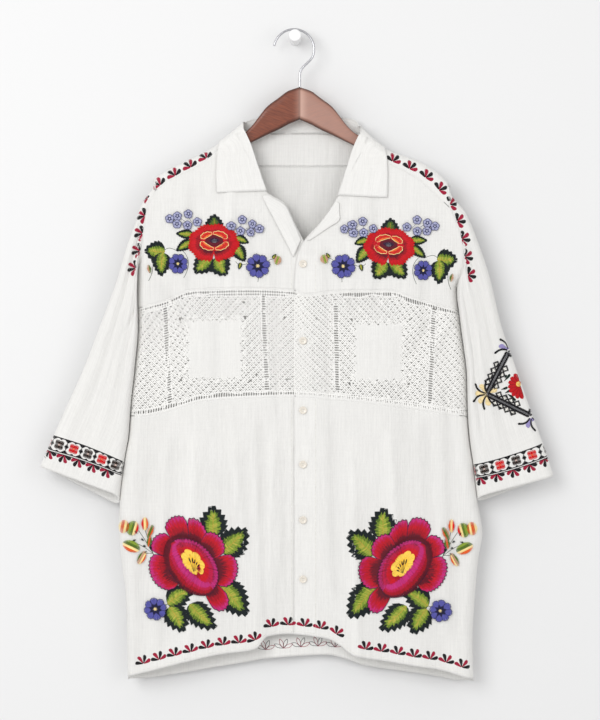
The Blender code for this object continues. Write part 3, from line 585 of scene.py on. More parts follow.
def note_cloth(mesh, place, tone):
    """Keeps the place on the cloth, of two or three numbers, and the tone."""
    place = place.reshape(len(mesh.vertices), -1)
    place = np.pad(place, ((0, 0), (0, 3 - place.shape[1])))
    note_on(mesh, "cloth_place", place, "FLOAT_VECTOR", "vector")
    note_on(mesh, "tone", np.broadcast_to(np.ravel(tone), len(place)))


def shown(name, mesh, material, replaced=()):
    piece = add_object(name, mesh)
    mesh.materials.append(material)
    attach(piece, "root")
    if replaced:
        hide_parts(*replaced)
    return piece


def make_thin(piece, thick=THICK):
    thin = piece.modifiers.new("thin cloth", "SOLIDIFY")
    thin.thickness, thin.offset = thick * MM, -1


def cloth(name, points, place, tone, node_name, thick=THICK, flip=False, **grid):
    """points lie on the inner face; place is the spot on the flat cloth."""
    side = -1 if flip else 1
    moved = points + side * OUTER * outward(points, grid.get("wrap", False))
    mesh = grid_mesh(name, moved, flip=flip, **grid)
    note_cloth(mesh, place, tone)
    piece = shown(name, mesh, cotton, (node_name,))
    make_thin(piece, thick)
    return piece


def flat_size(points):
    """Width and length of a grid of cloth, measured along it, in metres."""
    across = np.linalg.norm(np.diff(points, axis=1), axis=2).sum(axis=1).max()
    down = np.linalg.norm(np.diff(points, axis=0), axis=2).sum(axis=0).max()
    return round(float(across) * MM, 3), round(float(down) * MM, 3)


def flat_area(points, kept_cells=...):
    across = np.diff(points, axis=1)[:-1]
    down = np.diff(points, axis=0)[:, :-1]
    cells = np.linalg.norm(np.cross(across, down), axis=2)
    return float(cells[kept_cells].sum()) * MM * MM


def hang(piece, points, width=None, area=None):
    across, down = flat_size(points)
    size = (width or across, down)
    area = min(area or flat_area(points), size[0] * size[1])
    print(piece.name, "flat", size, "area", round(area, 4))


print("grid helpers ready")

# %% [markdown]
# ## The plain panels of the front and back
# Each panel lies between two lines across the body, with its columns spread from the
# side seam to the front edge. Near a side seam the columns follow the round of the
# side at even turns, so the edge stays smooth. The left front lies a little behind
# the right one, where the buttons close them.

# %% Panels
SIDE_TURNS = np.radians(np.linspace(0, 90, 13))
STEP = 3.6  # millimetres between columns and rows


def side_steps():
    return depth_half(-500) * (1 - np.cos(SIDE_TURNS))


def columns(count, from_left, from_right):
    """Share and shift of each column across a panel."""
    steps = side_steps()
    share = np.linspace(0, 1, count + 1)
    shift = np.zeros(count + 1)
    if from_left:
        shift = shift + steps[-1] * (1 - share)
    if from_right:
        shift = shift - steps[-1] * share
    if from_left:
        share = np.concatenate([np.zeros(len(steps)), share[1:]])
        shift = np.concatenate([steps, shift[1:]])
    if from_right:
        share = np.concatenate([share[:-1], np.ones(len(steps))])
        shift = np.concatenate([shift[:-1], -steps[::-1]])
    return share, shift


def spread(start, end, top, bottom, across, down, gap=SEAM / 2):
    """x and z of a panel's points between two edges and two lines."""
    share, shift = across
    down = np.asarray(down)[:, None]
    z = mix(-250, -700, down) + 0 * share[None, :]
    for _ in range(6):
        x = mix(start(z), end(z), share[None, :]) + shift[None, :]
        z = mix(top(x) - gap, bottom(x) + gap, down)
    return x, z


def set_back(x, side):
    return UNDER_LAP * ease((x + 70) / 55) if side == "left" else 0


def front_points(side, top, bottom, width, height, gap=SEAM / 2):
    down = np.linspace(0, 1, round(height / STEP) + 1)
    if side == "left":
        across = columns(round(width / STEP), True, False)
        x, z = spread(left_edge, left_opening, top, bottom, across, down, gap)
    else:
        across = columns(round(width / STEP), False, True)
        x, z = spread(right_opening, right_edge, top, bottom, across, down, gap)
    y = body_y(x, z, -1) + set_back(x, side)
    return np.stack([x, y, z], axis=2)


def band(value, low, high, soft=2):
    """1 between two values and 0 outside, with soft edges."""
    return ease((value - low) / soft) * ease((high - value) / soft)


def front_tone(points):
    """Painted light and shade: doubled cloth is paler, as less of the shade inside shows through it, and
    folds are darker in their hollows and lighter on their ridges.
    """
    x, z = points[..., 0], points[..., 2]
    facing = band(x, -1.5, 33) * (z < -330)
    hem = band(z - hem_front(x), 0, 21)
    # Painted shade in the hollows of the folds, and painted light on the ridges of the fine creases.
    valley_shade = np.clip(folds(VALLEYS, x, z) / 6, 0, 1)
    shade = np.clip(0.011 * fine_folds(x, z), -0.03, 0.05)
    return 0.975 + 0.03 * facing + 0.02 * hem - 0.03 * valley_shade - shade


def front_cloth(name, side, top, bottom, width, height):
    points = front_points(side, top, bottom, width, height)
    piece = cloth(name + "_cotton", points, points[..., [0, 2]], front_tone(points), name)
    hang(piece, points)


front_cloth("left_upper_front", "left", yoke_front, lace_top, 215, 190)
front_cloth("right_upper_front", "right", yoke_front, lace_top, 215, 190)
front_cloth("left_lower_front", "left", lace_bottom, hem_front, 265, 370)
front_cloth("right_lower_front", "right", lace_bottom, hem_front, 270, 370)


def back_cloth():
    down = np.linspace(0, 1, round(740 / 4.5) + 1)
    across = columns(round(470 / 4.5), True, True)
    x, z = spread(left_edge, right_edge, yoke_back, hem_back, across, down)
    points = np.stack([x, body_y(x, z, 1), z], axis=2)
    # Painted light: the back is 10 per cent paler along its hem, where the front hem shades it.
    tone = 0.96 + 0.1 * band(z - hem_back(x), 0, 32)
    piece = cloth("back_cotton", points, points[..., [0, 2]], tone, "back_panel", flip=True)
    hang(piece, points)


back_cloth()

# %% [markdown]
# ## The shoulder yoke
# The yoke passes over both shoulders in one piece, from its front seams down to a seam
# across the back. The depth formula already rounds off at the shoulder line, so the
# rows only have to be spaced evenly along that round. The neck is left open in front.

# %% Shoulder yoke
YOKE_FRONT_GAP = 0.5
YOKE_BACK_GAP = 0.8


def along_round(total_low, x, share):
    """Height at a share of the way from a seam up to the shoulder line."""
    top = ridge(x)
    drop = np.maximum(top - total_low, 0.5)
    turn = np.arccos(np.clip(1 - drop / RIDGE_ROUND, 0, 1))
    arc = RIDGE_ROUND * turn
    total = arc + np.maximum(drop - RIDGE_ROUND, 0)
    left = (1 - share) * total
    angle = np.minimum(left, arc) / RIDGE_ROUND
    return top - RIDGE_ROUND * (1 - np.cos(angle)) - np.maximum(left - arc, 0)


def length_along(points):
    """Distance of each point from the first, along a line of points."""
    return np.concatenate([[0], np.cumsum(np.linalg.norm(np.diff(points, axis=0), axis=1))])


def yoke_cloth():
    ends, neck, front, back = 42, 52, 18, 26
    to_neck = np.linspace(0, 1, ends + 1)
    share = np.concatenate([to_neck[:-1], np.linspace(0, 1, neck + 1)[:-1], to_neck])[None, :]
    part = np.array([0] * ends + [1] * neck + [2] * (ends + 1))[None, :]
    rows = np.concatenate([np.linspace(0, 1, front + 1), np.linspace(1, 0, back + 1)[1:]])[:, None]
    behind = (np.arange(front + back + 1) > front)[:, None]
    z = np.full((len(rows), share.shape[1]), -230)
    for _ in range(7):
        x = np.where(part == 0, mix(left_edge(z), NECK_LEFT, share), 0)
        x = np.where(part == 1, mix(NECK_LEFT, NECK_RIGHT, share), x)
        x = np.where(part == 2, mix(NECK_RIGHT, right_edge(z), share), x)
        low = np.where(behind, yoke_back(x) + YOKE_BACK_GAP, yoke_front(x) + YOKE_FRONT_GAP)
        z = along_round(low, x, rows)
    points = np.stack([x, np.where(behind, body_y(x, z, 1), body_y(x, z, -1)), z], axis=2)
    length = length_along(points[:, 20])
    open_cells = np.zeros((len(rows) - 1, share.shape[1] - 1), dtype=bool)
    open_cells[: front + 8, ends : ends + neck] = True
    place = np.stack([x, length[:, None] + 0 * x], axis=2)
    piece = cloth("yoke_cotton", points, place, 0.985, "shoulder_yoke", flip=True, skip=open_cells)
    hang(piece, points, area=0.029)


yoke_cloth()

# %% [markdown]
# ## The sleeves
# A sleeve starts as the oval of its armhole and becomes a flattened tube that slants
# down to the cuff. Its rings run round, and each is placed by a table row: the outer
# edge, the inner edge, and how deep the tube is there. Long soft folds run from the
# shoulder towards the cuff, and short ones cross under the arm.

# %% Sleeves
# Share of the length, outer edge x and z, inner edge x and z, middle, half of the gap
LEFT_SLEEVE = (
    (0.00, -212, -216, -238.7, -348, -41.5, 14),
    (0.07, -226.5, -241, -241.5, -366, -41, 14),
    (0.15, -238, -276, -241.8, -390, -40.5, 14),
    (0.25, -253, -318, -241.8, -425, -40, 14),
    (0.35, -267, -366, -242.5, -465, -39, 14),
    (0.50, -292, -433, -248, -520, -37.5, 13.5),
    (0.65, -318, -500, -254, -575, -36, 13),
    (0.80, -346, -562, -258.5, -625, -35, 12.5),
    (0.90, -365.5, -606, -264, -662, -34.5, 12),
    (1.00, -383, -645.5, -270, -697, -34, 12),
)
RIGHT_SLEEVE = (
    (0.00, 232, -225, 246.6, -377, -42, 14),
    (0.07, 248, -250, 248.6, -396, -41.5, 14),
    (0.15, 262, -278, 252, -416, -41, 14),
    (0.25, 277, -316, 256.5, -446, -40, 14),
    (0.35, 292, -362, 261.2, -485, -39, 14),
    (0.50, 309, -432, 264.6, -545, -37.5, 13.5),
    (0.65, 331, -496, 267.4, -592, -36, 13),
    (0.80, 356, -567, 271, -630, -35, 12.5),
    (0.90, 371, -607, 275.5, -660, -34.5, 12),
    (1.00, 388.5, -660, 283, -695, -34, 12),
)
# Soft folds: along, across, half along, half across, depth
SLEEVE_FOLDS = (
    (0.20, 0.35, 0.16, 0.18, 3), (0.45, 0.70, 0.20, 0.16, 3), (0.70, 0.40, 0.20, 0.15, 2.5),
)
SLEEVE_ADVANCE = 40
ARMHOLE_GAP = 0.5
UNDERARM_GAP = 1
SLEEVE_BESIDE = 1.65  # from the body's inner face to the sleeve's own
ARMHOLE_BLEND = 0.12
# Long creases of the sleeves: across and along above, across and along below, half, depth
LEFT_SLEEVE_CREASES = (
    (0.34, 0.05, 0.30, 0.75, 0.045, 1.8), (0.62, 0.10, 0.58, 0.90, 0.05, -1.5),
    (0.80, 0.12, 0.74, 0.70, 0.04, 1.6), (0.18, 0.20, 0.16, 0.95, 0.04, -1.2),
    (0.92, 0.20, 0.55, 0.42, 0.035, 1.6), (0.48, 0.45, 0.46, 1.00, 0.04, 1.2),
)
RIGHT_SLEEVE_CREASES = (
    (0.30, 0.05, 0.26, 0.80, 0.045, 1.8), (0.55, 0.08, 0.60, 0.85, 0.05, -1.6),
    (0.78, 0.15, 0.80, 0.75, 0.04, 1.8), (0.14, 0.22, 0.14, 0.90, 0.04, -1.3),
    (0.90, 0.22, 0.50, 0.40, 0.035, 1.7), (0.42, 0.50, 0.44, 1.00, 0.04, 1.3),
)


def sleeve_fold(creases, along, across):
    depth = 0
    for place_along, place_across, half_along, half_across, deep in SLEEVE_FOLDS:
        reach = ((along - place_along) / half_along) ** 2
        reach = reach + ((across - place_across) / half_across) ** 2
        depth = depth + deep * np.exp(-reach)
    for top_across, top, low_across, low, half, deep in creases:
        share = np.clip((along - top) / (low - top), 0, 1)
        centre = mix(top_across, low_across, share)
        ends = ease((along - top) / 0.12 + 0.5) * ease((low - along) / 0.12 + 0.5)
        depth = depth + deep * ends * np.exp(-(((across - centre) / half) ** 2))
    return depth


def sleeve_points(table, creases, edge, way, dip):
    columns_of = [Line(table, column) for column in range(1, 7)]
    along = np.linspace(0, 1, 121)[:, None]
    outer_x, outer_z, inner_x, inner_z, centre, gap = (column(along) for column in columns_of)
    width = np.hypot(outer_x - inner_x, outer_z - inner_z)
    shut = np.clip(along / 0.06, 0, 1)
    inner_x = mix(inner_x, edge(inner_z) + way * SLEEVE_BESIDE, shut)
    bend = gap / width
    turns = np.radians(np.linspace(0, 90, 11))[None, :]
    first = bend * (1 - np.cos(turns))
    flat = mix(bend, 1 - bend, np.linspace(0, 1, 34)[None, 1:-1])
    half = np.concatenate([first, flat, 1 - first[:, ::-1]], axis=1)
    rise = np.concatenate([np.sin(turns), np.ones((1, 32)), np.sin(turns)[:, ::-1]], axis=1)
    rise = np.broadcast_to(rise, half.shape)
    across = np.concatenate([half, half[:, -2:0:-1]], axis=1)
    depth = np.concatenate([-rise, rise[:, -2:0:-1]], axis=1)
    outer_x = outer_x - way * WALL
    x = mix(outer_x, inner_x, across)
    z = mix(outer_z, inner_z, across)
    y = centre + (gap - sleeve_fold(creases, along, across)) * depth
    near = 1 - ease(along / ARMHOLE_BLEND)
    closing = 1 - ease((z - table[0][4]) / UNDERARM_FADE)
    x = mix(x, edge(z) + way * (ARMHOLE_GAP + UNDERARM_GAP * closing), near)
    clear = edge(z) + way * (ARMHOLE_GAP + SLEEVE_ADVANCE * along * (1 - closing))
    x = np.where((x - clear) * way < 0, clear, x)
    side = np.where(depth < 0, -1, 1)
    front, back = body_y(edge(z), z, -1, 0, False), body_y(edge(z), z, 1, 0, False)
    seam_y = np.where(side < 0, front, back)
    seam_y = np.where(np.abs(depth) < 1e-6, mid_y(x, z), seam_y)
    y = mix(y, seam_y, near)
    z = z - dip * along**2 * across * depth
    y = y + 0.25 * depth * crinkle(across * width, along * 400, 1)
    place = np.stack([across * width, np.broadcast_to(-400 * along, x.shape)], axis=2)
    return np.stack([x, y, z], axis=2), place


def sleeve_cloth(name, table, creases, edge, way, dip, width):
    points, place = sleeve_points(table, creases, edge, way, dip)
    piece = cloth(name + "_cotton", points, place, 0.985, name, flip=way > 0, wrap=True)
    hang(piece, np.concatenate([points, points[:, :1]], axis=1), width=width)


sleeve_cloth("left_sleeve", LEFT_SLEEVE, LEFT_SLEEVE_CREASES, left_edge, -1, 8.5, 0.37)
sleeve_cloth("right_sleeve", RIGHT_SLEEVE, RIGHT_SLEEVE_CREASES, right_edge, 1, 5, 0.37)

# %% [markdown]
# ## Collar and lapels
# The collar is one strip that stands up round the neck, rolls over and falls as a
# leaf. It is set out as stations round the neck, each a short row of points across
# its width, and then smoothed between them. The lapels are the upper corners of the
# fronts, turned outwards: crisp on the right, soft and puffed on the left.

# %% Collar and lapels
# Fall of the left half: x and z of the roll, x and z of the edge
COLLAR_FRONT = (
    (-43, -233, -117, -236.5), (-51, -210, -117.5, -220),
    (-59, -187, -117.5, -203), (-66, -166, -117, -188),
    (-73, -150, -116, -177),
)
# Over the shoulder: turn in degrees, x of the roll, x of the edge, rise
COLLAR_TURN = (
    (60, -77, -115, 2), (30, -78, -114, 4), (0, -78.5, -113, 6),
    (-30, -78, -111, 9), (-60, -76, -109, 14),
)
COLLAR_BACK = (
    (-70, -126, -102, -171), (-52, -122, -72, -174),
    (-30, -120, -36, -174), (-10, -119, -12, -174),
)
# Lapels: x and z of the roll, x and z of the edge
LEFT_LAPEL = (
    (-42, -238.5, -49, -241), (-28, -246, -41, -257),
    (-14, -255.5, -31, -276), (-6, -271, -21, -296), (2, -289, -11, -315),
    (9, -306, -2.5, -332),
)
RIGHT_LAPEL = (
    (61, -249, 66, -251), (53.5, -260, 66, -264), (46, -271, 66, -277),
    (36, -284, 50, -288), (26, -297, 35, -298), (17, -306.5, 21, -307),
)
STAND_LIFT = 2 * WALL + SEAM
LEAF_LIFT = STAND_LIFT + 0.8
LAPEL_LIFT = 2.2
LEAF_SHARES = (0.12, 0.4, 0.7, 1)
LEAF_BULGE = 0.6


def smoothed(points, by, axis):
    """by points for each step of a grid, along a smooth curve through its points."""
    points = np.moveaxis(points, axis, 0)
    start = 2 * points[:1] - points[1:2]
    end = 2 * points[-1:] - points[-2:-1]
    all_points = np.concatenate([start, points, end])
    made = []
    for k in range(len(points) - 1):
        a, b, c, d = all_points[k : k + 4]
        for step in range(by):
            t = step / by
            made.append(
                b
                + 0.5 * t * (c - a)
                + t * t * (a - 2.5 * b + 2 * c - 0.5 * d)
                + t**3 * (1.5 * b - 0.5 * a - 1.5 * c + 0.5 * d)
            )
    made.append(points[-1])
    return np.moveaxis(np.array(made), 0, axis)


def leaf_y(x, z, side, lift):
    return float(mid_y(x, z) + side * (depth_half(z) + lift))


def fall_station(row, side, opening):
    """Points from the neck seam over the roll to the edge, on the front or the back."""
    roll_x, roll_z, edge_x, edge_z = row
    length = math.dist((roll_x, roll_z), (edge_x, edge_z))
    seam = (float(opening(roll_z)), roll_z) if side < 0 else (roll_x, float(ridge(roll_x)) - RIDGE_ROUND)
    apex = (roll_x + (roll_x - edge_x) / length, roll_z + (roll_z - edge_z) / length)
    spots = [(*seam, STAND_LIFT), (roll_x, roll_z, STAND_LIFT), (*apex, STAND_LIFT + 0.4)]
    for share in (0, *LEAF_SHARES):
        spots.append((mix(roll_x, edge_x, share), mix(roll_z, edge_z, share), LEAF_LIFT))
    return [(x, leaf_y(x, z, side, lift), z) for x, z, lift in spots]


def turn_point(x, turn, lift, rise):
    radius = RIDGE_ROUND + lift
    z = float(ridge(x)) + lift - radius * (1 - math.cos(turn)) + rise
    return x, float(mid_y(x, z)) - radius * math.sin(turn), z


def turn_station(row, mirrored):
    """The same points where the collar turns over the shoulder."""
    turn, roll_x, edge_x, rise = row
    seam_x, inward = NECK_LEFT, 1
    if mirrored:
        roll_x, edge_x = 2 * NECK_CENTRE - roll_x, 2 * NECK_CENTRE - edge_x
        seam_x, inward = NECK_RIGHT, -1
    spots = [(seam_x, STAND_LIFT, 0), (roll_x, STAND_LIFT, rise)]
    spots.append((roll_x + inward, STAND_LIFT + 0.4, rise + LEAF_BULGE))
    for share in (0, *LEAF_SHARES):
        spots.append((mix(roll_x, edge_x, share), LEAF_LIFT, rise * (1 - share) ** 2))
    return [turn_point(x, math.radians(turn), lift, up) for x, lift, up in spots]


def mirrored_row(row, drop):
    roll_x, roll_z, edge_x, edge_z = row
    twice = 2 * NECK_CENTRE
    return twice - roll_x, roll_z * drop, twice - edge_x, edge_z * drop


def flat_place(points):
    """Lengths across and along a grid, for the yarns."""
    across = np.linalg.norm(np.diff(points, axis=1), axis=2).cumsum(axis=1)
    along = np.linalg.norm(np.diff(points, axis=0), axis=2).cumsum(axis=0)
    across = np.concatenate([np.zeros((len(points), 1)), across], axis=1)
    along = np.concatenate([np.zeros((1, points.shape[1])), along], axis=0)
    return np.stack([across, along], axis=2)


def collar_cloth():
    stations = [fall_station(row, -1, left_opening) for row in COLLAR_FRONT]
    stations += [turn_station(row, False) for row in COLLAR_TURN]
    back = [*COLLAR_BACK, (10.5, -119, 10.5, -174)]
    back += [mirrored_row(row, 1) for row in reversed(COLLAR_BACK)]
    stations += [fall_station(row, 1, None) for row in back]
    stations += [turn_station(row, True) for row in reversed(COLLAR_TURN)]
    for row in reversed(COLLAR_FRONT):
        stations.append(fall_station(mirrored_row(row, RIGHT_DROP), -1, right_opening))
    points = smoothed(smoothed(np.array(stations), 5, 0), 5, 1)
    piece = cloth("collar_cotton", points, flat_place(points), 1.01, "collar", 0.7, True)
    hang(piece, points)


def lapel_cloth(name, table, side, flip):
    rows = []
    for roll_x, roll_z, edge_x, edge_z in table:
        row = []
        for share in (0, 0.33, 0.66, 1):
            x, z = mix(roll_x, edge_x, share), mix(roll_z, edge_z, share)
            y = float(body_y(x, z, -1, LAPEL_LIFT, False)) + float(set_back(np.array(x), side))
            row.append((x, y, z))
        rows.append(row)
    points = smoothed(smoothed(np.array(rows), 6, 0), 5, 1)
    share = np.linspace(0, 1, points.shape[1])[None, :]
    puff = 1.5 if side == "left" else 0.3
    points[..., 1] -= puff * np.sin(np.pi * share)
    piece = cloth(name + "_cotton", points, flat_place(points), 1.01, name, 0.6, flip)
    hang(piece, points)


collar_cloth()
lapel_cloth("left_lapel", LEFT_LAPEL, "left", True)
lapel_cloth("right_lapel", RIGHT_LAPEL, "right", False)

# %% [markdown]
# ## The lace inserts
# Bobbin lace is thread, so most of it is made as thread: two sets of slanting threads
# that pass over and under each other. Its dense parts are cloth work, made as a fine
# lattice that keeps only the cells inside the pattern: the bands beside the ladders,
# the bars between their slots, and the windows with their zigzag edges. The corners of
# that lattice are then relaxed, so its holes look drawn by thread and not cut.

# %% Lace inserts
CELL = 1.2  # lattice of the cloth work
NET_STEP = 1.5  # lattice cells from one crossing of the net to the next
NET_THREAD = 0.76
EDGE_BAND = 2.4
SLOT_TALL = 7.2
UPRIGHT_HALF = 3.3
# Upright ladders: x at the top and at the bottom
UPRIGHTS = ((-195, -187), (-48.5, -41.5), (60.5, 63.5), (208.5, 201))
# Windows of plain cloth work: left, right, top, bottom
WINDOWS = ((-163, -77, -424, -516), (87, 163, -429, -519))
# Larger holes of the net: x, z
EYES = (
    (-76, -400), (-75, -421), (-16, -422), (32, -424), (85, -425),
    (-67, -517), (-57, -508), (-12, -515), (82, -521), (172, -425),
    (-172, -424), (-171, -516), (170, -521),
)
WINDOW_TEETH = (12.4, 5)  # pitch and height
EYE_ROUND = 2.1
BUTTON_LOZENGE = (12, -457, 17)
SPIDER_PITCH = 21.6
SPIDER_REACH = 3.4


def zigzag(value, pitch, size):
    return size * np.abs(((value / pitch) % 1) * 2 - 1)


def past_window(x, z):
    """How far a place lies outside the zigzag edge of the nearest window."""
    past = np.inf
    for left, right, top, bottom in WINDOWS:
        wide = zigzag(z - top, *WINDOW_TEETH)
        tall = zigzag(x - left, *WINDOW_TEETH)
        past_x = np.maximum(left + wide - x, x - right + wide)
        past_z = np.maximum(z - top + tall, bottom + tall - z)
        past = np.minimum(past, np.maximum(past_x, past_z))
    return past


def lozenge(x, z, middle_x, middle_z, reach):
    return np.abs(x - middle_x) + np.abs(z - middle_z) < reach


def lace_zones(x, z, column, row):
    """Masks of the cloth work and of the ladders, where no net runs."""
    down = lace_top(x) - z
    up = z - lace_bottom(x)
    bar = column % 3 > 0
    top_ladder = (x < 2) | (x > 72)
    uneven = 0.72 + 0.28 * np.sin(x / 9 + 1) * np.sin(x / 23)
    low_tall = np.where((x > -32) & (x < 72), 0.5, uneven) * SLOT_TALL
    top_tall = np.where(np.abs(x + 70) < 60, 1, uneven) * SLOT_TALL
    slot = (down > EDGE_BAND) & (down < EDGE_BAND + top_tall) & top_ladder
    slot |= (up > EDGE_BAND) & (up < EDGE_BAND + low_tall)
    solid = (down < EDGE_BAND) | (up < EDGE_BAND) | (slot & bar)
    under = EDGE_BAND + top_tall
    solid |= (down >= under) & (down < under + EDGE_BAND) & top_ladder
    solid |= (up >= EDGE_BAND + low_tall) & (up < 2 * EDGE_BAND + low_tall)
    inside = (down > under) & (up > 2 * EDGE_BAND + low_tall)
    share = np.clip(down / 160, 0, 1)
    for top_x, low_x in UPRIGHTS:
        away = np.abs(x - mix(top_x, low_x, share))
        rung = inside & (away < UPRIGHT_HALF)
        slot |= rung
        solid &= ~rung
        solid |= rung & (row % 3 > 0)
        solid |= inside & (away >= UPRIGHT_HALF) & (away < UPRIGHT_HALF + 1.6)
    past = past_window(x, z)
    trail = (past > 3) & (past < 5.2)
    solid |= (past < 0) | (trail & inside & ~slot)
    ring = lozenge(x, z, *BUTTON_LOZENGE) & ~lozenge(x, z, *BUTTON_LOZENGE[:2], 13)
    solid |= ring | lozenge(x, z, *BUTTON_LOZENGE[:2], 8.5)
    turned = [np.abs(((x + way * z) / SPIDER_PITCH) % 1 - 0.5) for way in (1, -1)]
    reach = np.maximum(*turned) * SPIDER_PITCH
    solid |= (reach > 1.2) & (reach < SPIDER_REACH) & inside & ~slot
    return solid, slot


def lace_grid(side):
    turns = np.radians(np.linspace(0, 90, 23))
    steps = depth_half(-500) * (1 - np.cos(turns))
    share = np.linspace(0, 1, round(246 / CELL) + 1)[1:]
    share = np.concatenate([np.zeros(len(steps)), share])
    shift = np.concatenate([steps, steps[-1] * (1 - share[len(steps) :])])
    down = np.linspace(0, 1, round(160 / CELL) + 1)
    if side == "left":
        x, z = spread(left_edge, left_opening, lace_top, lace_bottom, (share, shift), down, 0.3)
    else:
        x, z = spread(right_edge, right_opening, lace_top, lace_bottom, (share, -shift), down, 0.3)
    y = body_y(x, z, -1) + set_back(x, side)
    points = np.stack([x, y, z], axis=2)
    normals = outward(points) * (1 if side == "left" else -1)
    return points, normals


@contextmanager
def reworked(mesh):
    """Opens a mesh for editing and writes it back."""
    form = bmesh.new()
    form.from_mesh(mesh)
    yield form
    form.to_mesh(mesh)
    form.free()


def relax(mesh, rounds):
    """Rounds the corners of a lattice's holes."""
    with reworked(mesh) as form:
        rim = [corner for corner in form.verts if corner.is_boundary]
        for _ in range(rounds):
            bmesh.ops.smooth_vert(
                form, verts=rim, factor=0.5, use_axis_x=True, use_axis_y=True, use_axis_z=True
            )


def cloth_work(side, points, normals):
    middle = (points[:-1, :-1] + points[1:, 1:]) / 2
    rows, across = middle.shape[:2]
    row, column = np.mgrid[0:rows, 0:across]
    solid, slot = lace_zones(middle[..., 0], middle[..., 2], column, row)
    moved = points + (OUTER - 0.05) * normals
    name = f"{side}_lace_cloth_work"
    mesh = grid_mesh(name, moved, flip=side == "right", skip=~solid)
    window = past_window(points[..., 0], points[..., 2]) < 0
    # The windows are a little darker, and painted shade darkens a narrow stripe down the left window where a
    # fold runs through it.
    fold = np.exp(-(((points[..., 0] + 120) / 7) ** 2))
    note_cloth(mesh, points[..., [0, 2]], np.where(window, 0.945 - 0.04 * fold, 1))
    with reworked(mesh) as form:
        loose = [corner for corner in form.verts if not corner.link_faces]
        bmesh.ops.delete(form, geom=loose, context="VERTS")
    relax(mesh, 2)
    piece = shown(name, mesh, lace_cotton, (f"{side}_lace",))
    make_thin(piece)
    return piece, solid, slot


def thread_mesh(name, starts, ends, normals, radius):
    """Threads between pairs of points, each a narrow strip with a raised middle."""
    aside = unit(np.cross(unit(ends - starts), normals))
    top, edge = 0.6 * radius * normals, radius * aside
    corners = [starts - edge, starts + top, starts + edge, ends - edge, ends + top, ends + edge]
    points = np.stack(corners, axis=1).reshape(-1, 3)
    base = np.arange(len(starts))[:, None, None] * 6
    strips = np.array([(0, 3, 4, 1), (1, 4, 5, 2)])[None]
    return mesh_from(name, points, (base + strips).reshape(-1, 4))


def net(side, points, normals, solid, slot):
    """Slanting threads over and under each other wherever the lace is open."""
    rows, across = solid.shape
    starts, ends, ups = [], [], []
    deep = solid.copy()
    for shift, axis in ((1, 0), (-1, 0), (1, 1), (-1, 1)):
        deep &= np.roll(solid, shift, axis)
    blocked = slot & (chance.random((rows, 1)) < 0.85) & (chance.random((1, across)) < 0.85)
    blocked |= deep
    for way in (1, -1):
        first = np.arange(-rows, across + rows, 2 * NET_STEP)
        count = int(rows / NET_STEP)
        knot = np.arange(count + 1)
        row = knot[None, :] * NET_STEP
        column = first[:, None] + way * row
        wave = np.where((knot[None, :] + (way < 0)) % 2 == 0, 0.3, -0.1) + 0 * column
        inside = (column >= 0) & (column <= across) & (row <= rows)
        thread = np.arange(len(first))[:, None]
        hole = (thread % 2 == 0) & ((thread + way * knot[None, :]) % 2 == 0)
        hole &= (way > 0) | (thread % 4 == 0)
        j = np.clip(row + 0 * column, 0, rows - 1e-6)
        i = np.clip(column, 0, across - 1e-6)
        low_j, low_i = j.astype(int), i.astype(int)
        part_j, part_i = (j - low_j)[..., None], (i - low_i)[..., None]

        def between(grid):
            upper = mix(grid[low_j, low_i], grid[low_j, low_i + 1], part_i)
            lower = mix(grid[low_j + 1, low_i], grid[low_j + 1, low_i + 1], part_i)
            return mix(upper, lower, part_j)

        place, up = between(points), between(normals)
        place = place + (OUTER - 0.35 + wave[..., None]) * up
        mid_j = ((j[:, :-1] + j[:, 1:]) / 2).astype(int)
        mid_i = ((i[:, :-1] + i[:, 1:]) / 2).astype(int)
        keep = inside[:, :-1] & inside[:, 1:] & ~blocked[mid_j, mid_i] & ~hole[:, :-1]
        middle = (place[:, :-1] + place[:, 1:]) / 2
        for eye_x, eye_z in EYES:
            keep &= np.hypot(middle[..., 0] - eye_x, middle[..., 2] - eye_z) > EYE_ROUND
        starts.append(place[:, :-1][keep])
        ends.append(place[:, 1:][keep])
        ups.append(up[:, :-1][keep])
    starts, ends, ups = (np.concatenate(part) for part in (starts, ends, ups))
    mesh = thread_mesh(f"{side}_lace_net", starts, ends, ups, NET_THREAD)
    note_cloth(mesh, np.repeat(starts[:, [0, 2, 1]], 6, axis=0), 1.05)
    piece = shown(f"{side}_lace_net", mesh, lace_cotton, ())
    print(piece.name, len(starts), "lengths of thread")
    return piece


def lace_insert(side):
    points, normals = lace_grid(side)
    work, solid, slot = cloth_work(side, points, normals)
    threads = net(side, points, normals, solid, slot)
    area = flat_area(points, solid)
    print(work.name, "is", round(100 * float(solid.mean())), "percent cloth work")
    hang(work, points, area=area)


lace_insert("left")
lace_insert("right")

# %% [markdown]
# ## The wooden hanger, its hook and the peg
# The wood is one curved bar with rounded edges. Its section is lofted along each arm
# and mirrored. Under the clear lacquer the grain runs along the arms, and a thin dark
# line shows where the two halves are glued. A painted reflection makes the right arm
# and a stripe beside the middle paler, and painted shade darkens the top and bottom
# faces. The hook is bright plated wire with a rounded tip, and the peg is turned and
# painted.

# %% Hanger, hook and peg
# Half of the hanger: distance from its middle, upper and lower edge
HANGER = (
    (0, -76, -124.5), (17, -82, -132), (32, -93, -140), (49, -106, -148),
    (61, -121, -154), (70, -133, -158.5), (83, -145.5, -165),
    (100, -155.1, -173.5), (125, -171.05, -188), (150, -184.05, -201.5),
    (180, -196.55, -216), (203, -209.05, -229), (209, -214, -230),
)
HANGER_THICK = 12
HANGER_EDGE = 3.2


def shaded(tree, value, low, high, middle=None):
    """Colours between two ends, each a place from 0 to 1 and a colour."""
    colours = node(tree, "ValToRGB", {"Fac": value})
    for element, (place, colour) in zip(colours.color_ramp.elements, (low, high)):
        element.position, element.color = place, (*colour, 1)
    if middle:
        colours.color_ramp.elements.new(middle[0]).color = (*middle[1], 1)
    return colours.outputs["Color"]


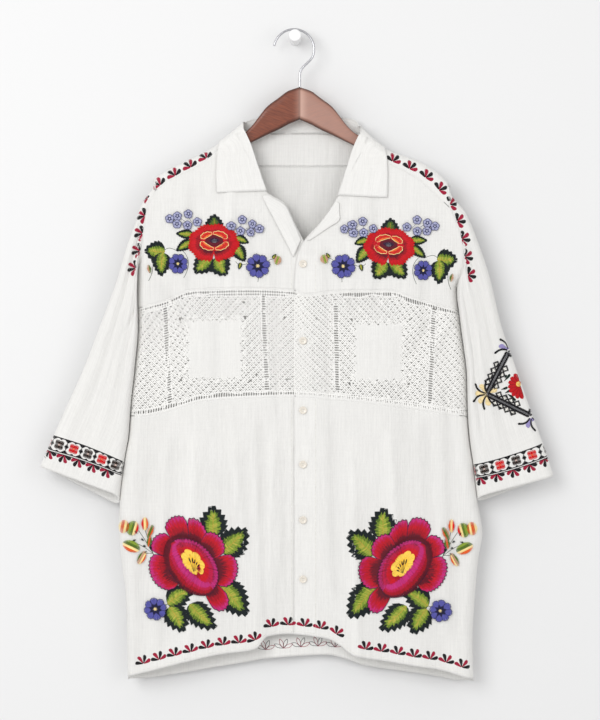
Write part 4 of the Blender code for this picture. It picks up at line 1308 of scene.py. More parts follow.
def lacquered_wood():
    looks = {"Roughness": 0.34, "Coat Weight": 0.3, "Coat Roughness": 0.12}
    made, tree, shader = new_material("red-brown lacquered wood", looks)
    pores = noise(tree, 0.09, 2.4, 3)
    colours = shaded(tree, noise(tree, 0.02, 0.55, 6), (0.32, (0.15, 0.026, 0.008)),
                     (0.72, (0.27, 0.06, 0.02)), (0.5, (0.20, 0.042, 0.014)))
    shade = maths(tree, "MULTIPLY", kept(tree, "tone"), ramp(tree, pores, 0.86, 1.05))
    # Painted reflection: the wood's colour is mixed towards a pale pinkish brown where the lacquer's
    # reflection is painted.
    sheen_mix = node(tree, "MixRGB", {
        "Fac": kept(tree, "painted_sheen"), "Color1": tinted(tree, colours, shade),
        "Color2": (0.56, 0.34, 0.27, 1),
    })
    tree.links.new(sheen_mix.outputs[0], shader.inputs["Base Color"])
    bump(tree, pores, 0.06, 0.0004, shader)
    return made


def close_ends(mesh):
    """Joins points that lie together, closes the open ends and turns all faces outwards."""
    with reworked(mesh) as form:
        bmesh.ops.remove_doubles(form, verts=form.verts, dist=0.000001)
        bmesh.ops.holes_fill(form, edges=[e for e in form.edges if e.is_boundary])
        bmesh.ops.recalc_face_normals(form, faces=form.faces)
    mesh.shade_smooth()


def wood_piece():
    top_line, low_line = Line(HANGER), Line(HANGER, 2)
    distance = np.concatenate([np.linspace(0, 200, 81), np.linspace(201, 209, 9)])
    close = np.sqrt(np.clip(1 - ((distance - 196) / 13.4) ** 2, 0, 1))
    close = np.where(distance < 196, 1, close)
    top, low = top_line(distance), low_line(distance)
    middle, half_tall = (top + low) / 2, (top - low) / 2 * close
    half_thick = HANGER_THICK / 2 * np.maximum(close, 0.35)
    turns = np.radians(np.arange(0, 360, 15)) + 0.13
    unit_y, unit_z = np.cos(turns), np.sin(turns)
    flat = 1 / np.maximum(np.abs(unit_y), np.abs(unit_z))
    ring_y = half_thick[:, None] * (unit_y * flat)[None]
    ring_z = half_tall[:, None] * (unit_z * flat)[None]
    corner_y = np.maximum(np.abs(ring_y) - (half_thick[:, None] - HANGER_EDGE), 0)
    corner_z = np.maximum(np.abs(ring_z) - (half_tall[:, None] - HANGER_EDGE), 0)
    reach = np.maximum(np.hypot(corner_y, corner_z), HANGER_EDGE)
    pull = (reach - HANGER_EDGE) / reach
    ring_y = ring_y - np.sign(ring_y) * corner_y * pull
    ring_z = ring_z - np.sign(ring_z) * corner_z * pull
    halves = []
    for way in (-1, 1):
        x = HANGER_X + way * distance[:, None] + 0 * ring_y
        y = -30 - ARM_FORWARD * distance[:, None] + ring_y
        z = middle[:, None] + ring_z
        halves.append(np.stack([x, y, z], axis=2))
    points = np.concatenate([halves[0][::-1], halves[1][1:]])
    mesh = grid_mesh("hanger_bar", points, wrap=True, flip=True)
    close_ends(mesh)
    x = points[..., 0].ravel()
    glue = 1 - 0.55 * np.exp(-(((x - HANGER_X) / 1) ** 2))
    # Painted shade: the top and bottom faces of the bar are darkened. The glue line is the wood's own dark
    # joint.
    rim = np.broadcast_to((np.abs(unit_z) > 0.72)[None], points.shape[:2]).ravel()
    tone = np.where(rim, 0.3, 0.92) * glue
    # Painted reflection of the lacquer: the right arm is paler than the left, with a paler stripe beside the
    # middle.
    highlight_stripe = np.exp(-(((x - HANGER_X - 2) / 7) ** 2))
    painted_sheen = np.where(x < HANGER_X, 0.03, 0.49) + 0.4 * highlight_stripe
    note_on(mesh, "painted_sheen", np.where(rim, 0, painted_sheen * glue))
    slant = points[..., 2] - 0.35 * np.abs(points[..., 0])
    note_cloth(mesh, np.stack([points[..., 0], slant, points[..., 1]], axis=2), tone)
    shown("hanger_bar", mesh, lacquered_wood(), ("hanger_wood",))
    print("hanger bar", len(mesh.polygons), "faces")


def metal(name, colour, rough):
    made, tree, shader = new_material(name, {"Base Color": (*colour, 1), "Metallic": 1.0})
    speckle = node(tree, "TexNoise", {"Scale": 900.0}).outputs["Fac"]
    tree.links.new(ramp(tree, speckle, rough, rough + 0.12), shader.inputs["Roughness"])
    return made


def painted(name, colour, rough):
    made, tree, shader = new_material(name, {"Base Color": (*colour, 1), "Roughness": rough})
    peel = node(tree, "TexNoise", {"Scale": 600.0}).outputs["Fac"]
    bump(tree, peel, 0.08, 0.0003, shader)
    return made


HOOK_CENTRE = (-1.5, -19)
HOOK_STEM = (7.25, -58)
PEG_ROUND = 9
PEG_LENGTH = 46
HOOK_WIRE = 3.6


def hook_piece():
    middle_x, middle_z = HOOK_CENTRE
    reach = math.hypot(middle_x, middle_z) + PEG_ROUND + SEAM + HOOK_WIRE / 2
    turn = np.radians(np.linspace(168, -14, 49))
    route = [(middle_x + reach * c, middle_z + reach * s) for c, s in zip(np.cos(turn), np.sin(turn))]
    start, stem = Vector(route[-1]), Vector(HOOK_STEM)
    near = start + Vector((math.sin(turn[-1]), -math.cos(turn[-1]))) * 14
    far = stem + Vector((0, 15))
    for s in np.linspace(0, 1, 21)[1:]:
        bend = start * (1 - s) ** 3 + near * (3 * s * (1 - s) ** 2)
        bend += far * (3 * s * s * (1 - s)) + stem * s**3
        route.append((bend.x, bend.y))
    route.append((HOOK_STEM[0], -75.5))
    curve = bpy.data.curves.new("hook_wire", "CURVE")
    curve.dimensions = "3D"
    curve.bevel_depth = HOOK_WIRE / 2 * MM
    curve.bevel_resolution = 5
    curve.use_fill_caps = True
    tip = Vector(route[0])
    lead = (tip - Vector(route[1])).normalized()
    places = [tuple(tip + lead * past) for past in (1.4, 1.2, 0.8)] + route
    shares = [0.25, 0.6, 0.88] + [1] * len(route)
    spline = curve.splines.new("POLY")
    spline.points.add(len(places) - 1)
    for point, (x, z), share in zip(spline.points, places, shares):
        point.co = (x * MM, -30 * MM, z * MM, 1)
        point.radius = share
    spline.use_smooth = True
    wire = metal("bright plated wire", (0.5, 0.5, 0.52), 0.2)
    shown("hook_wire", curve, wire, ("hanger_hook",))
    print("hook wire", len(places), "points")


def lathe(profile, steps):
    """Points of a turned form: radius and depth towards the viewer."""
    turns = np.radians(np.linspace(0, 360, steps, endpoint=False))
    radius = np.array([row[0] for row in profile])[:, None]
    depth = np.array([row[1] for row in profile])[:, None]
    x, z = radius * np.cos(turns)[None], radius * np.sin(turns)[None]
    return np.stack([x, -depth + 0 * x, z], axis=2)


def turned_piece(name, profile, steps, place, material, replaced):
    points = lathe(profile, steps) + np.array(place)
    mesh = grid_mesh(name, points, wrap=True)
    close_ends(mesh)
    mesh.set_sharp_from_angle(angle=math.radians(50))
    return shown(name, mesh, material, replaced)


def peg_piece():
    edge = [(PEG_ROUND - 1.5 * (1 - math.sin(a)), PEG_LENGTH - 1.5 * (1 - math.cos(a)))
            for a in np.radians(np.linspace(0, 90, 7))]
    profile = [(0.01, PEG_LENGTH), *edge, (PEG_ROUND, 0), (0.01, 0)]
    paint = painted("white satin paint", (0.86, 0.86, 0.86), 0.35)
    turned_piece("peg", profile, 64, (0, 0, 0), paint, ("wall_peg",))


wood_piece()
hook_piece()
peg_piece()

# %% [markdown]
# ## Buttons
# Each button is a small pearly disc with a rim, a sunken middle and four holes, sewn on
# with a cross of thread. The holes are dark because they are deep and narrow, so each is
# made as a short dark plug in the sunken middle, and the thread passes over them.

# %% Buttons
BUTTON_X = 12
BUTTON_HEIGHTS = (-342, -457, -561, -642, -725, -814)


def pearl():
    made, tree, shader = new_material("pearly shell", {"Roughness": 0.22, "Coat Weight": 0.5})
    layers = node(tree, "TexNoise", {"Scale": 260, "Detail": 4, "Distortion": 1.6})
    colours = shaded(tree, layers.outputs["Fac"], (0.35, (0.70, 0.62, 0.50)),
                     (0.65, (0.86, 0.83, 0.78)))
    tree.links.new(colours, shader.inputs["Base Color"])
    return made


def button_pieces():
    shell = pearl()
    hole = painted("shade of a button hole", (0.25, 0.21, 0.17), 0.8)
    thread = painted("sewing thread", (0.82, 0.80, 0.74), 0.9)
    profile = [(0.01, 1.35), (3.3, 1.4), (3.9, 1.75), (4.3, 2.2), (4.8, 2.4), (5.3, 2.25),
               (5.65, 1.8), (5.75, 1.3), (5.5, 0.7), (4.6, 0.25), (0.01, 0.2)]
    for number, z in enumerate(BUTTON_HEIGHTS, 1):
        back = float(body_y(BUTTON_X, z, -1, 0, False)) - WALL - SEAM
        place = (BUTTON_X, back, z)
        node_name = f"button_{number}"
        turned_piece(f"{node_name}_disc", profile, 48, place, shell, (node_name,))
        for k, (x, up) in enumerate(((-1, -1), (1, -1), (-1, 1), (1, 1))):
            spot = (BUTTON_X + 1.25 * x, back - 1.3, z + 1.25 * up)
            plug = [(0.01, 0.14), (0.6, 0.14), (0.6, 0)]
            turned_piece(f"{node_name}_hole_{k + 1}", plug, 12, spot, hole, ())
        bars = np.array([(-1.25, -1.25, 1.25, 1.25), (-1.25, 1.25, 1.25, -1.25)])
        starts = np.array([(BUTTON_X + a, back - 1.62, z + b) for a, b, _, _ in bars])
        ends = np.array([(BUTTON_X + c, back - 1.62, z + d) for _, _, c, d in bars])
        up = np.tile([[0, -1, 0]], (2, 1))
        mesh = thread_mesh(f"{node_name}_thread", starts, ends, up, 0.28)
        shown(f"{node_name}_thread", mesh, thread, ())
    print(len(BUTTON_HEIGHTS), "buttons sewn on")


button_pieces()

# %% [markdown]
# ## How the embroidery is sewn
# Every stitch is a short raised thread, and its two ends dive into the cloth. A flower
# is built from a few kinds of filling: long-and-short stitches that run from an inner
# line to an outer one and change colour on the way, satin stitches across a narrow
# shape, and back stitches along a line. All stitches are first placed on a flat chart
# of x and z. They are then dropped straight onto the cloth, so they follow its folds.

# %% Stitches
def dye(red, green, blue):
    """A thread colour as a maker reads it off a shade card, 0 to 255 each."""
    return tuple((value / 255) ** 2.2 for value in (red, green, blue))


CRIMSON, BLACK = dye(158, 24, 56), dye(24, 22, 26)
RED, SCARLET, MAROON = dye(196, 18, 34), dye(214, 34, 28), dye(96, 12, 34)
MAGENTA, PLUM = dye(190, 44, 116), dye(52, 14, 48)
LEAF_EDGE, OLIVE, LIME = dye(12, 26, 28), dye(84, 110, 34), dye(134, 156, 54)
VEIN, GOLD, CREAM = dye(188, 176, 76), dye(248, 196, 66), dye(248, 222, 150)
ORANGE, TAN = dye(222, 92, 38), dye(196, 150, 120)
PERIWINKLE, NAVY = dye(84, 84, 158), dye(24, 24, 62)
LILAC, SLATE, MIST = dye(164, 166, 198), dye(72, 74, 108), dye(206, 208, 226)
STEM_GREEN, WHITE = dye(52, 66, 44), dye(240, 238, 230)


class Needle:
    """Collects stitches on a flat chart of x and z, in millimetres."""

    def __init__(self, mirror=None, drop=0, pitch=0.8, tilt=0, about=(0, 0)):
        self.mirror, self.drop, self.pitch = mirror, drop, pitch
        self.tilt, self.about = math.radians(tilt), np.array(about)
        self.rows, self.layer = [], 0

    def add(self, starts, ends, colour, width=None):
        starts, ends = np.atleast_2d(starts), np.atleast_2d(ends)
        count = len(starts)
        colours = np.broadcast_to(np.asarray(colour, dtype=float), (count, 3)).copy()
        colours *= 1 + 0.3 * (chance.random((count, 1)) - 0.5)
        wide = np.full((count, 1), width or self.pitch * 1.2)
        layer = np.full((count, 1), float(self.layer)) + 0.3 * chance.random((count, 1))
        self.rows.append(np.hstack([starts, ends, colours, wide, layer]))

    def chart(self):
        rows = np.vstack(self.rows)
        if self.mirror is not None:
            rows[:, 0] = 2 * self.mirror - rows[:, 0]
            rows[:, 2] = 2 * self.mirror - rows[:, 2]
        rows[:, [1, 3]] += self.drop
        swing = np.array([[math.cos(self.tilt), math.sin(self.tilt)],
                          [-math.sin(self.tilt), math.cos(self.tilt)]])
        for ends in (slice(0, 2), slice(2, 4)):
            rows[:, ends] = self.about + (rows[:, ends] - self.about) @ swing
        return rows


def heading(degrees):
    turn = np.radians(degrees)
    return np.stack([np.cos(turn), np.sin(turn)], axis=-1)


def teeth(distance, pitch, height):
    return height * (1 - np.abs(2 * ((distance / pitch) % 1) - 1))


def fill(needle, inner, outer, bands, ragged=0.07):
    """Long-and-short stitches from an inner line to an outer one, in bands of colour."""
    count = len(inner)
    for number, (low, high, colour) in enumerate(bands):
        start = low - ragged * chance.random((count, 1)) * (number > 0)
        end = high + ragged * chance.random((count, 1)) * (number < len(bands) - 1)
        end = np.minimum(end, 1)
        needle.add(mix(inner, outer, start), mix(inner, outer, end), colour)


def on_line(points, length, at):
    """Places at given distances along a line of points."""
    return np.stack([np.interp(at, length, points[:, k]) for k in (0, 1)], axis=1)


def xz(place):
    return np.asarray(place, dtype=float)


def line(needle, points, colour, width=0.7, stitch=2.2):
    """Back stitches along a line of points."""
    points = xz(points)
    length = length_along(points)
    at = np.linspace(0, length[-1], max(2, round(length[-1] / stitch) + 1))
    spots = on_line(points, length, at)
    step = 0.08 * (spots[1:] - spots[:-1])
    needle.add(spots[:-1] - step, spots[1:] + step, colour, width)


def curve(start, middle, end, count=12):
    """A soft stem through three points."""
    t = np.linspace(0, 1, count)[:, None]
    start, middle, end = xz([start, middle, end])
    bend = 2 * middle - 0.5 * (start + end)
    return (1 - t) ** 2 * start + 2 * t * (1 - t) * bend + t**2 * end


def petal(needle, centre, first, last, reaches, bands, inner, tooth=(5.6, 2.9)):
    """A petal between two headings, with a toothed rim and a thin dark outline."""
    middle_reach = reaches[1]
    sweep = abs(math.radians(last - first))
    count = max(8, round(sweep * middle_reach / needle.pitch))
    share = np.linspace(0, 1, count)
    way = heading(mix(first, last, share))
    bow = 4 * share * (1 - share)
    far = mix(reaches[0], reaches[2], share)
    far = far + (middle_reach - (reaches[0] + reaches[2]) / 2) * bow**0.6
    far = far - 0.07 * middle_reach * np.abs(2 * share - 1) ** 10
    far = far + teeth(share * sweep * middle_reach, *tooth) - 0.5 * tooth[1]
    centre = xz(centre)
    outer = centre + way * far[:, None]
    fill(needle, centre + way * inner(mix(first, last, share))[:, None], outer, bands, 0.2)
    needle.layer += 0.5
    rim = np.vstack([centre + way[:1] * 0.6 * far[0], outer, centre + way[-1:] * 0.6 * far[-1]])
    line(needle, rim, PLUM, 1.3, 1.3)
    needle.layer += 0.5


def leaf(needle, base, tip, half, bend=0, tooth=(6, 2.8), colours=(VEIN, LIME, OLIVE)):
    """Two halves of slanting stitches, pale at the vein and dark at the toothed edge."""
    base, tip = xz([base, tip])
    length = np.linalg.norm(tip - base)
    along = (tip - base) / length
    aside = np.array([-along[1], along[0]])
    count = max(10, round(length * 1.3 / needle.pitch))
    share = np.linspace(0, 1, count)
    rib = base + share[:, None] * (tip - base) * 0.74
    rib = rib + (bend * np.sin(np.pi * share))[:, None] * aside
    wide = 1.06 * half * np.sin(np.pi * share**0.72) ** 0.75
    for side in (-1, 1):
        push = teeth(share * length * 1.1 + side * 1.7, *tooth)
        outer = rib + side * aside * (wide + 0.7 * push)[:, None]
        ahead = 0.26 * length * share**1.3 + 0.7 * push
        outer = outer + along * ahead[:, None]
        streak = chance.random((count, 1))
        middle = np.where(streak < 0.45, colours[1], colours[2])
        inside = np.where(streak < 0.3, colours[0], colours[1])
        start = 0.42 + 0.2 * chance.random((count, 1))
        needle.add(rib, mix(rib, outer, 0.36), inside)
        needle.add(mix(rib, outer, 0.26), mix(rib, outer, start + 0.04), middle)
        needle.add(mix(rib, outer, start), outer, LEAF_EDGE, 1.7 * needle.pitch)
    ends = tip + along * tooth[1] * 0.4 + aside * (np.linspace(-0.45, 0.45, 7) * tooth[1])[:, None]
    needle.add(np.repeat(rib[-1:], 7, axis=0), ends, LEAF_EDGE, 1.7 * needle.pitch)
    needle.layer += 0.5
    line(needle, rib, dye(196, 150, 62), 0.8, 3)
    needle.layer += 0.5


def blossom(needle, centre, radius, petals, colours, tall=1, turn=0):
    """Round flower: outer petals, darker throat, pale eye."""
    count = max(20, round(2 * math.pi * radius / needle.pitch))
    angle = np.linspace(0, 360, count, endpoint=False)
    lobe = np.abs(np.cos(np.radians((angle - turn) * petals / 2)))
    rim = radius * (0.74 + 0.24 * lobe**0.5)
    rim = rim + teeth(np.radians(angle) * radius, 0.22 * radius, 0.07 * radius)
    way = heading(angle) * np.array([1, tall])
    centre = xz(centre)
    outer = centre + way * rim[:, None]
    throat = (0.34 + 0.34 * (1 - lobe))[:, None]
    start = mix(centre, outer, throat - 0.05 * chance.random((count, 1)))
    colour = np.where(lobe[:, None] < 0.12, colours[1], colours[0])
    needle.add(start, outer, colour)
    needle.add(mix(centre, outer, 0.14), mix(centre, outer, throat + 0.05), colours[1])
    needle.layer += 0.5
    line(needle, np.vstack([outer, outer[:1]]), colours[1], 1.15 if radius < 8 else 0.8, 1.2)
    dots = heading(np.arange(0, 360, 60)) * radius * 0.17
    needle.add(centre + 0 * dots, centre + dots, colours[2], 1)
    needle.layer += 0.5


def berry(needle, centre, facing, half_long, half_wide, stripes):
    """An oval of stitches side by side, striped along its length."""
    count = max(5, round(2 * half_wide / needle.pitch))
    aside = np.linspace(-0.94, 0.94, count)
    along, across = heading(facing), heading(facing + 90)
    reach = half_long * np.sqrt(1 - aside**2)
    middle = xz(centre) + across * (aside * half_wide)[:, None]
    kind = ((aside + 1) / 2 * len(stripes)).astype(int)
    colours = np.array([stripes[k] for k in kind])
    needle.add(middle - along * reach[:, None], middle + along * reach[:, None], colours)


def drop_petal(needle, base, facing, length, width, colour):
    """A teardrop of satin stitches, narrow at its base."""
    share = np.linspace(0.10, 0.97, max(5, round(length / 0.8)))
    half = 0.62 * width * share**0.8 * np.sqrt(1 - share**7)
    along, across = heading(facing), heading(facing + 90)
    middle = xz(base) + along * (share * length)[:, None]
    slant = along * 0.25 * half[:, None]
    side = across * half[:, None]
    needle.add(middle - side - slant, middle + side + slant, colour, 1.05)


def fan(needle, base, facing, size=10.5, order=(CRIMSON, BLACK, CRIMSON, BLACK), broad=0.5):
    """Four petals spread over a half circle, as in the trims."""
    for turn, colour in zip((-70, -24, 24, 70), order):
        share = 1 if abs(turn) < 40 else 0.94
        drop_petal(needle, base, facing + turn, size * share, broad * size, colour)


def diamond(needle, centre, half_wide, half_tall, colour, turn=0):
    count = max(4, round(2 * half_wide / 0.8))
    aside = np.linspace(-0.9, 0.9, count)
    across, along = heading(turn), heading(turn + 90)
    middle = xz(centre) + across * (aside * half_wide)[:, None]
    reach = along * (half_tall * (1 - np.abs(aside)))[:, None]
    needle.add(middle - reach, middle + reach, colour, 1)


print("stitches ready")

# %% [markdown]
# ## Dropping the stitches onto the cloth
# A ray is sent from the front (or the back) at the two ends and the middle of each
# stitch. Where it meets the cloth, the thread gets its place and the direction it
# stands out in. A stitch that misses the cloth, past an edge or a fold, is left out.
# Each vertex keeps its thread's colour and a place along the thread for the twist.

# %% Sewing onto the cloth
def surface_of(*names):
    """The cloth of some pieces as one surface that rays can meet."""
    points, faces, base = [], [], 0
    for name in names:
        mesh = bpy.data.objects[f"{name}_cotton"].data
        flat = np.empty(len(mesh.vertices) * 3)
        mesh.vertices.foreach_get("co", flat)
        points.extend(flat.reshape(-1, 3).tolist())
        corners = np.empty(len(mesh.loops), dtype=int)
        mesh.loops.foreach_get("vertex_index", corners)
        faces.extend((corners.reshape(-1, 4) + base).tolist())
        base += len(mesh.vertices)
    return BVHTree.FromPolygons(points, faces)


def thread_material():
    looks = {"Roughness": 0.55, "Sheen Weight": 0.04, "Specular IOR Level": 0.25}
    made, tree, shader = new_material("embroidery thread", looks)
    place = kept(tree, "thread_place", "Vector")
    fibre = node(tree, "TexNoise", {"Scale": 2.4, "Vector": place}).outputs["Fac"]
    tint = tinted(tree, kept(tree, "thread_colour", "Color"), ramp(tree, fibre, 0.86, 1.1))
    tree.links.new(tint, shader.inputs["Base Color"])
    parts = node(tree, "SeparateXYZ", {0: place})
    slanted = maths(tree, "ADD", parts.outputs[0], parts.outputs[1])
    twist = maths(tree, "SINE", maths(tree, "MULTIPLY", slanted, 7.5))
    bump(tree, twist, 0.35, 0.00012, shader)
    return made


thread = thread_material()


def drop(surface, places, way):
    """Points and normals where rays along y meet the cloth, and which ones do."""
    points, normals = np.zeros((len(places), 3)), np.zeros((len(places), 3))
    met = np.zeros(len(places), dtype=bool)
    direction = Vector((0, -way, 0))
    for number, (x, z) in enumerate(places.tolist()):
        spot, normal, _, _ = surface.ray_cast(Vector((x * MM, way * 0.3, z * MM)), direction)
        if spot is not None:
            met[number] = True
            points[number] = spot
            normals[number] = normal
    normals *= np.sign(normals[:, 1:2] * way + 1e-12)
    return points / MM, normals, met


def sew(needles, name, surface, way=-1, raised=0, skip_steep=0.12):
    rows = np.vstack([needle.chart() for needle in needles])
    starts, ends = rows[:, 0:2], rows[:, 2:4]
    spots = np.stack([starts, (starts + ends) / 2, ends], axis=1)
    points, normals, met = drop(surface, spots.reshape(-1, 2), way)
    points, normals = points.reshape(-1, 3, 3), normals.reshape(-1, 3, 3)
    keep = met.reshape(-1, 3).all(axis=1)
    keep &= np.abs(normals[..., 1]).min(axis=1) > skip_steep
    keep &= np.ptp(points[..., 1], axis=1) < 9
    points, normals, rows = points[keep], normals[keep], rows[keep]
    along = points[:, 2] - points[:, 0]
    length = np.linalg.norm(along, axis=1)
    aside = unit(np.cross(unit(along)[:, None], normals))
    half = rows[:, 7] / 2
    ground = 0.10 + raised + 0.13 * rows[:, 8]
    vertices, places = [], []
    for station, (wide, high) in enumerate(((0.55, 0.08), (1, 0.34), (0.55, 0.08))):
        for side in (-1, 0, 1):
            height = ground + (high if side == 0 else 0.02)
            spot = points[:, station] + normals[:, station] * height[:, None]
            spot = spot + aside[:, station] * (side * wide * half)[:, None]
            vertices.append(spot)
            places.append(np.stack([length * station / 2, side * half, 7 * rows[:, 8]], axis=1))
    vertices = np.stack(vertices, axis=1).reshape(-1, 3)
    places = np.stack(places, axis=1).reshape(-1, 3)
    quads = np.array([(0, 1, 4, 3), (1, 2, 5, 4), (3, 4, 7, 6), (4, 5, 8, 7)])
    faces = (np.arange(len(rows))[:, None, None] * 9 + quads).reshape(-1, 4)
    if way < 0:
        faces = faces[:, ::-1]
    mesh = mesh_from(name, vertices, faces)
    colours = np.repeat(np.hstack([rows[:, 4:7], np.ones((len(rows), 1))]), 9, axis=0)
    note_on(mesh, "thread_colour", colours, "FLOAT_COLOR", "color")
    note_on(mesh, "thread_place", places, "FLOAT_VECTOR", "vector")
    shown(name, mesh, thread)
    print(name, len(rows), "stitches")


FRONTS = ("left_upper_front", "right_upper_front", "left_lower_front", "right_lower_front")
REST = ("yoke", "left_sleeve", "right_sleeve")
FRONT = surface_of(*FRONTS, *REST, "back")

# %% [markdown]
# ## Chest flowers
# A red peony with a yellow-edged cup lies between serrated leaves, with a blue flower at
# each side and sprays of small lilac flowers above. The left side is worked from a list
# of places, and the right side is the same chart turned over.

# %% Chest flowers
def chest_peony(needle, centre):
    angle = np.linspace(0, 360, 300, endpoint=False)
    turn = np.radians(angle)
    notch = 1 - 0.45 * np.exp(-(((angle - 271) / 5) ** 2))
    ruffle = 1 - 0.07 * np.abs(np.sin(4.5 * turn + 0.4)) ** 3
    rim = np.stack([37.8 * np.cos(turn), 28.2 * np.sin(turn)], axis=1)
    rim = rim * (notch * ruffle)[:, None] + teeth(turn * 32, 4.6, 2.2)[:, None] * heading(angle)
    centre = xz(centre)
    bands = ((0, 0.3, MAROON), (0.24, 0.5, dye(156, 14, 30)), (0.45, 0.8, RED),
             (0.75, 1, dye(192, 16, 22)))
    fill(needle, centre + rim * 0.42, centre + rim, bands, 0.14)
    needle.layer += 0.5
    for mark in (14, 52, 84, 128, 160, 206, 240, 300, 334):
        near = np.argmin(np.abs(angle[:, None] - (mark + np.array([-2, 0, 2]))), axis=0)
        low = np.array([[0.5], [0.46], [0.5]])
        high = np.array([[0.66], [0.84], [0.66]])
        needle.add(centre + rim[near] * low, centre + rim[near] * high, MAROON, 0.7)
    needle.layer += 0.5
    cup = np.stack([23.4 * np.cos(turn), 15 * np.sin(turn)], axis=1)
    cup_centre = centre + np.array([1.5, 3.3])
    fill(needle, cup_centre + cup * 0.2, cup_centre + cup, ((0, 0.5, MAROON), (0.45, 1, RED)))
    needle.layer += 0.7
    for first, last in ((102, 164), (16, 96), (186, 266), (275, 352)):
        sweep = np.linspace(first, last, 26)
        bow = np.sin(np.linspace(0, np.pi, 26))
        unit = np.stack([24 * np.cos(np.radians(sweep)), 15.3 * np.sin(np.radians(sweep))],
                        axis=1)
        inside = cup_centre + unit * (0.66 - 0.12 * bow)[:, None]
        ripple = 0.03 * np.cos(np.linspace(0, 8 * np.pi, 26))
        outside = cup_centre + unit * (0.78 + 0.22 * bow**0.4 + ripple)[:, None]
        fill(needle, inside, outside, ((0, 0.5, dye(236, 116, 50)), (0.5, 1, dye(216, 60, 34))))
        needle.layer += 0.5
        line(needle, np.vstack([outside, inside[::-1], outside[:1]]), CREAM, 1.05, 1.8)
        needle.layer -= 0.5
    needle.layer += 0.7
    eye = np.linspace(-0.92, 0.92, 15)[:, None]
    eye_centre = centre + np.array([1.2, 4.3])
    tall = 4.3 * np.sqrt(1 - eye**2)
    middle = eye_centre + eye * np.array([[8.4, 0]])
    up = np.array([[0, 1]])
    needle.add(middle - tall * up, middle + tall * up, dye(44, 30, 60))
    needle.add(middle[4:11] - 0.5 * tall[4:11] * up, middle[4:11] + 0.3 * tall[4:11] * up,
               dye(84, 88, 134), 0.6)
    needle.layer += 1


def stems(needle, colour, width, routes):
    for route in routes:
        line(needle, curve(*route), colour, width)


def chest_flowers(needle):
    stems(needle, STEM_GREEN, 0.8, (
        ((-194.2, -321.6), (-187.5, -318.8), (-177, -322.4)),
        ((-168, -322.4), (-159.3, -340.4), (-166.5, -362.9)),
        ((-213, -335.9), (-213, -352.4), (-219, -367.4)), ((-88.5, -338.9), (-82.5, -343.4), (-72, -341.9)),
        ((-42, -340.4), (-37.5, -335.9), (-30, -334.4)), ((-55.5, -353.9), (-54.8, -361.4), (-55.5, -368.9)),
    ))
    stems(needle, SLATE, 0.6, (
        ((-186, -274.4), (-175.5, -278.9), (-162, -284.9)),
        ((-159.6, -268.4), (-156, -277.4), (-147, -284.9)),
        ((-175.5, -271.4), (-166.5, -277.4), (-157.5, -284.9)),
        ((-96, -286.4), (-85.5, -289.4), (-67.5, -292.4)),
        ((-78.8, -277.4), (-81, -284.9), (-81.6, -293.9)), ((-54, -289.4), (-63, -287.9), (-73.5, -289.4)),
    ))
    leaf(needle, (-194.2, -323.9), (-223.5, -321.6), 14.4, 1.5)
    leaf(needle, (-197.2, -325.4), (-200.1, -359.1), 12, -1)
    leaf(needle, (-120.6, -295.4), (-120.6, -269.1), 12.3, 0, (5, 2.4), (OLIVE, OLIVE, STEM_GREEN))
    leaf(needle, (-153, -297.6), (-177, -297.1), 6.3, 0.5, (3.6, 1))
    leaf(needle, (-153, -308.9), (-177, -322.4), 7.2, -1, (3.6, 1))
    leaf(needle, (-88.5, -302.9), (-69.8, -310.4), 6, 0.5, (3.6, 1))
    leaf(needle, (-91.5, -314.9), (-75, -338.1), 9.6, 1, (3.6, 1.2))
    leaf(needle, (-126, -329.1), (-149.2, -354.6), 13.8, 1)
    leaf(needle, (-117, -332.1), (-104.2, -359.1), 14.4, -1)
    leaf(needle, (-81, -340.4), (-84, -350.1), 2.7, 0, (3, 0.6))
    chest_peony(needle, (-121.8, -311.2))
    blue = (PERIWINKLE, NAVY, CREAM)
    blossom(needle, (-175, -341.9), 14.1, 8, blue, 1.05, 20)
    blossom(needle, (-55.5, -345.1), 17.7, 8, blue, 1, 10)
    lilac = (LILAC, SLATE, MIST)
    for spot in (
        (-187, -275.2), (-175.5, -271.2), (-159.6, -267.9), (-176, -282.9), (-161, -284.6),
        (-145.4, -279.6), (-95.4, -285.8), (-79, -276.3), (-81.6, -293.1), (-64, -282.6),
        (-53.1, -289.8), (-66.5, -294.8),
    ):
        blossom(needle, spot, 6.4, 5, lilac, 1, 90)
    berry(needle, (-26.2, -336.6), 70, 6.9, 6, (TAN, LIME, TAN))
    berry(needle, (-217.8, -349.4), 100, 6.3, 2.7, (OLIVE, TAN))
    leaf(needle, (-34.5, -333.6), (-28.5, -327.6), 2.5, 0, (3, 0.5))


left_chest = Needle(pitch=0.72)
chest_flowers(left_chest)
right_chest = Needle(mirror=9.6, drop=-5.8, pitch=0.72, tilt=-4.5, about=(141, -317))
chest_flowers(right_chest)
sew([left_chest], "left_chest_flowers", FRONT)
sew([right_chest], "right_chest_flowers", FRONT)

# %% [markdown]
# ## Large flowers above the hem
# The large peony has seven outer petals, each shaded from maroon at its root to pink at
# its toothed rim, round a tilted cup. Its back petals stand behind the yellow heart,
# and its front petal folds over, so there the pink rim is inside and the red outside.

# %% Large flowers
CUP_TILT = -51


def oval(centre, half_long, half_wide, angle):
    turn = np.radians(angle)[:, None]
    along, aside = heading(CUP_TILT), heading(CUP_TILT + 90)
    return xz(centre) + half_long * np.cos(turn) * along + half_wide * np.sin(turn) * aside


def cup_reach(angle):
    turn = np.radians(angle - CUP_TILT)
    return 0.88 * 45 * 30 / np.hypot(30 * np.cos(turn), 45 * np.sin(turn))


